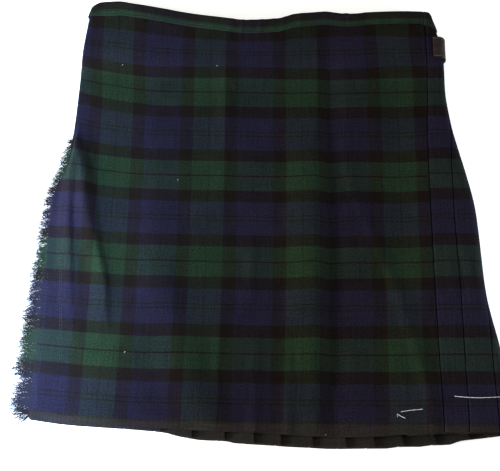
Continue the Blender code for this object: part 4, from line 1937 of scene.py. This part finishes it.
@dataclass
class Sewing(StrapSeat):
    """Basting threads, stay-stitching and marks on the cloth that shows."""

    stay_stitch: Stitch = Stitch(3.6, 0.9, 0.22)
    stay_wander: float = 0.35
    mark_stitch: Stitch = Stitch(1.7, 1.6, 0.35)
    mark_x: float = 31.8
    mark_ends: tuple[float, float] = (-185.0, -223.0)
    slanted: tuple[tuple[float, float], ...] = ((104.0, 293.2), (113.5, 298.8))
    band_stitch: Stitch = Stitch(2.8, 1.2, 0.27)
    band_ends: tuple[float, float] = (-236.0, 208.0)
    band_below: float = 16.6
    band_lift: float = 1.72
    settling_steps: int = 6

    def on_cloth(self, x: Array, real: Array, lift: float) -> Array:
        """Find points on the front of the cloth.

        Args:
            x: places across.
            real: places along, on the finished outline.
            lift: how far above the cloth's middle.

        Returns:
            The points, in millimetres.
        """
        x, real = np.broadcast_arrays(np.asarray(x, float), np.asarray(real, float))
        points = []
        for a, b in zip(x, real):
            here, front = np.array([a]), np.array([False])
            row = b
            for _ in range(self.settling_steps):
                row += b - float(self.tube.real_y(row, here, front)[0])
            section = self.tube.section(row)
            if a < section.edge:
                z = self.tube.front_height(here, section) + self.tube.relief(here, row)
            else:
                z = self.tube.place(section, here - section.edge, 0.0)[1]
            points.append((a, b, float(z[0]) + lift))
        return np.array(points)

    def thread(
        self, name: str, corners: Sequence[Sequence[float]], lift: float, radius: float, finish: ThreadFinish
    ) -> bpy.types.Object:
        """Lay one loose thread through corners on the cloth.

        Args:
            name: the piece's name.
            corners: places across and along.
            lift: how far above the cloth's middle it lies.
            radius: its radius.
            finish: the thread.

        Returns:
            The thread.
        """
        places = np.array(corners, float)
        reach = run_lengths(*places.T)
        along = np.linspace(0, reach[-1], max(int(reach[-1] / 1.5), 4))
        line = self.on_cloth(*SmoothTable(np.column_stack([reach, places])).at(along).T, lift)
        line[:, 2] += 0.25 * np.sin(along * 0.9)
        piece = Bench.strands(name, [line], radius, 0.9)
        self.wardrobe.dress(piece, finish)
        return piece

    def lint(self) -> bpy.types.Object:
        """Return the specks of lint."""
        x, real = np.array(LINT).T
        ends = [self.on_cloth(x + d, real + 0.5 * d, 0.8) for d in (0.0, 0.8, 1.6)]
        piece = Bench.strands("lint", list(np.stack(ends, axis=1)), 0.28, 0.6)
        self.wardrobe.dress(piece, BASTING_THREAD)
        return piece

    def build(self) -> list[bpy.types.Object]:
        """Return every thread."""
        made = [self.thread(*basting, BASTING_THREAD) for basting in BASTING]
        for name, inset, low, high, lean in STAYS:
            rows = np.linspace(low, high, 90)
            left = np.array([self.tube.section(row).left for row in rows]) + inset + lean * (-110 - rows)
            line = self.on_cloth(left + self.stay_wander * np.sin(rows / 9.0), rows, 0.5)
            made.append(self.stitches(name, line, self.stay_stitch, STAY_THREAD))
        mark = self.on_cloth(self.mark_x, np.linspace(*self.mark_ends, 30), 0.55)
        made.append(self.stitches("fell_mark", mark, self.mark_stitch, DARK_THREAD))
        made.append(self.lint())
        made.append(self.thread("slanted_mark", self.slanted, 1.9, 0.42, DARK_THREAD))
        x = np.linspace(*self.band_ends, 160)
        low = FRONT_TOP.value(x) - self.band_below + band_trim(x, 1.2, 0.8) + corner_level(x)
        line = self.on_cloth(x, low, self.band_lift)
        made.append(self.stitches("band_seam", line, self.band_stitch, BAND_THREAD))
        return made


@dataclass(frozen=True)
class Lamp:
    """One soft square light: places and side in metres, power in watts, spread in radians."""

    name: str
    at: Place
    aim: Place
    size: float
    power: float
    spread: float
    colour: Colour
    glossy: bool = True

    def hang(self) -> None:
        """Put the light into the scene."""
        lamp = bpy.data.lights.new(self.name, "AREA")
        lamp.size, lamp.energy, lamp.color, lamp.spread = self.size, self.power, self.colour, self.spread
        holder = bpy.data.objects.new(self.name, lamp)
        bpy.context.scene.collection.objects.link(holder)
        holder.visible_camera, holder.visible_glossy = False, self.glossy
        holder.location = self.at
        holder.rotation_euler = (Vector(self.aim) - Vector(self.at)).to_track_quat("-Z", "Y").to_euler()


LAMPS = (
    Lamp("window", (-0.66, -0.61, 0.29), (-0.62, -0.32, 0.0), 0.40, 16.0, 1.42, (0.62, 1.0, 1.58)),
    Lamp("far_window", (-1.10, -0.50, 0.13), (0, 0, 0), 0.30, 52.0, math.pi, (0.90, 0.90, 0.88), False),
    Lamp("sky", (0.75, -0.15, 0.20), (0.25, 0.0, 0.0), 0.30, 2.6, math.pi, (0.80, 1.0, 1.35)),
)


@dataclass
class Studio:
    """The floor, the lights and the camera."""

    place: Place = (-0.0179, -0.7391, 1.525)
    tilt: float = 24.869
    yaw: float = 0.290
    roll: float = 0.773
    lens: float = 93.6
    sensor: float = 36.0
    floor_size: float = 12.0
    floor_z: float = -0.0004
    fill: float = 0.64
    fill_colour: Colour = (0.90, 0.87, 0.80)

    def camera(self) -> None:
        """Place the camera."""
        camera = bpy.data.cameras.new("view")
        camera.lens, camera.sensor_width = self.lens, self.sensor
        holder = bpy.data.objects.new("view", camera)
        bpy.context.scene.collection.objects.link(holder)
        yaw = Matrix.Rotation(math.radians(self.yaw), 4, "Z")
        tilt = Matrix.Rotation(math.radians(self.tilt), 4, "X")
        roll = Matrix.Rotation(math.radians(self.roll), 4, "Z")
        holder.matrix_world = Matrix.Translation(self.place) @ (yaw @ tilt) @ roll
        bpy.context.scene.camera = holder

    def build(self) -> None:
        """Set the whole studio up."""
        Bench.clear()
        bpy.ops.mesh.primitive_plane_add(size=self.floor_size, location=(0, 0, self.floor_z))
        floor = Bench.added("floor")
        floor.data.materials.append(FloorFinish().make())
        for lamp in LAMPS:
            lamp.hang()
        world = bpy.data.worlds.new("studio")
        world.use_nodes = True
        ground = world.node_tree.nodes["Background"]
        ground.inputs[0].default_value = (*self.fill_colour, 1.0)
        ground.inputs[1].default_value = self.fill
        world.cycles_visibility.glossy = False
        bpy.context.scene.world = world
        bpy.context.scene.view_settings.view_transform = "Standard"
        self.camera()


@dataclass
class Kilt:
    """The whole garment."""

    tube: LaidTube = field(default_factory=LaidTube)
    wardrobe: Wardrobe = field(default_factory=Wardrobe)

    def build(self) -> None:
        tube, wardrobe = self.tube, self.wardrobe
        apron = OverApron(tube, wardrobe)
        under = UnderApron(tube, wardrobe)
        over_cloth, under_cloth = apron.build(), under.build()
        pleats = PleatedBack(tube, wardrobe).build()
        apron_band = Waistband(tube, wardrobe, Side.APRON, apron, under).build()
        back_band = Waistband(tube, wardrobe, Side.BACK, apron, under).build()
        loose = Fringe(tube, wardrobe).build()
        sparse = SmoothTable(((0, 3.4), (300, 3.4)))
        tucked = Fringe(tube, wardrobe, "tucked_fringe", 130.0, 270.0, 23, 0.85, sparse, 3).build()
        Straps(tube, wardrobe).build()
        Buckle(tube, wardrobe).build()
        Buckle(tube, wardrobe, node="apron_buckle", x=-140.0, z=1.2).build()
        threads = Sewing(tube, wardrobe).build()


def main() -> None:
    """Load the frame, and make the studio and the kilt."""
    logging.basicConfig(level=logging.INFO, format="%(name)s: %(message)s")
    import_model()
    Studio().build()
    Kilt().build()


if __name__ == "__main__":
    main()
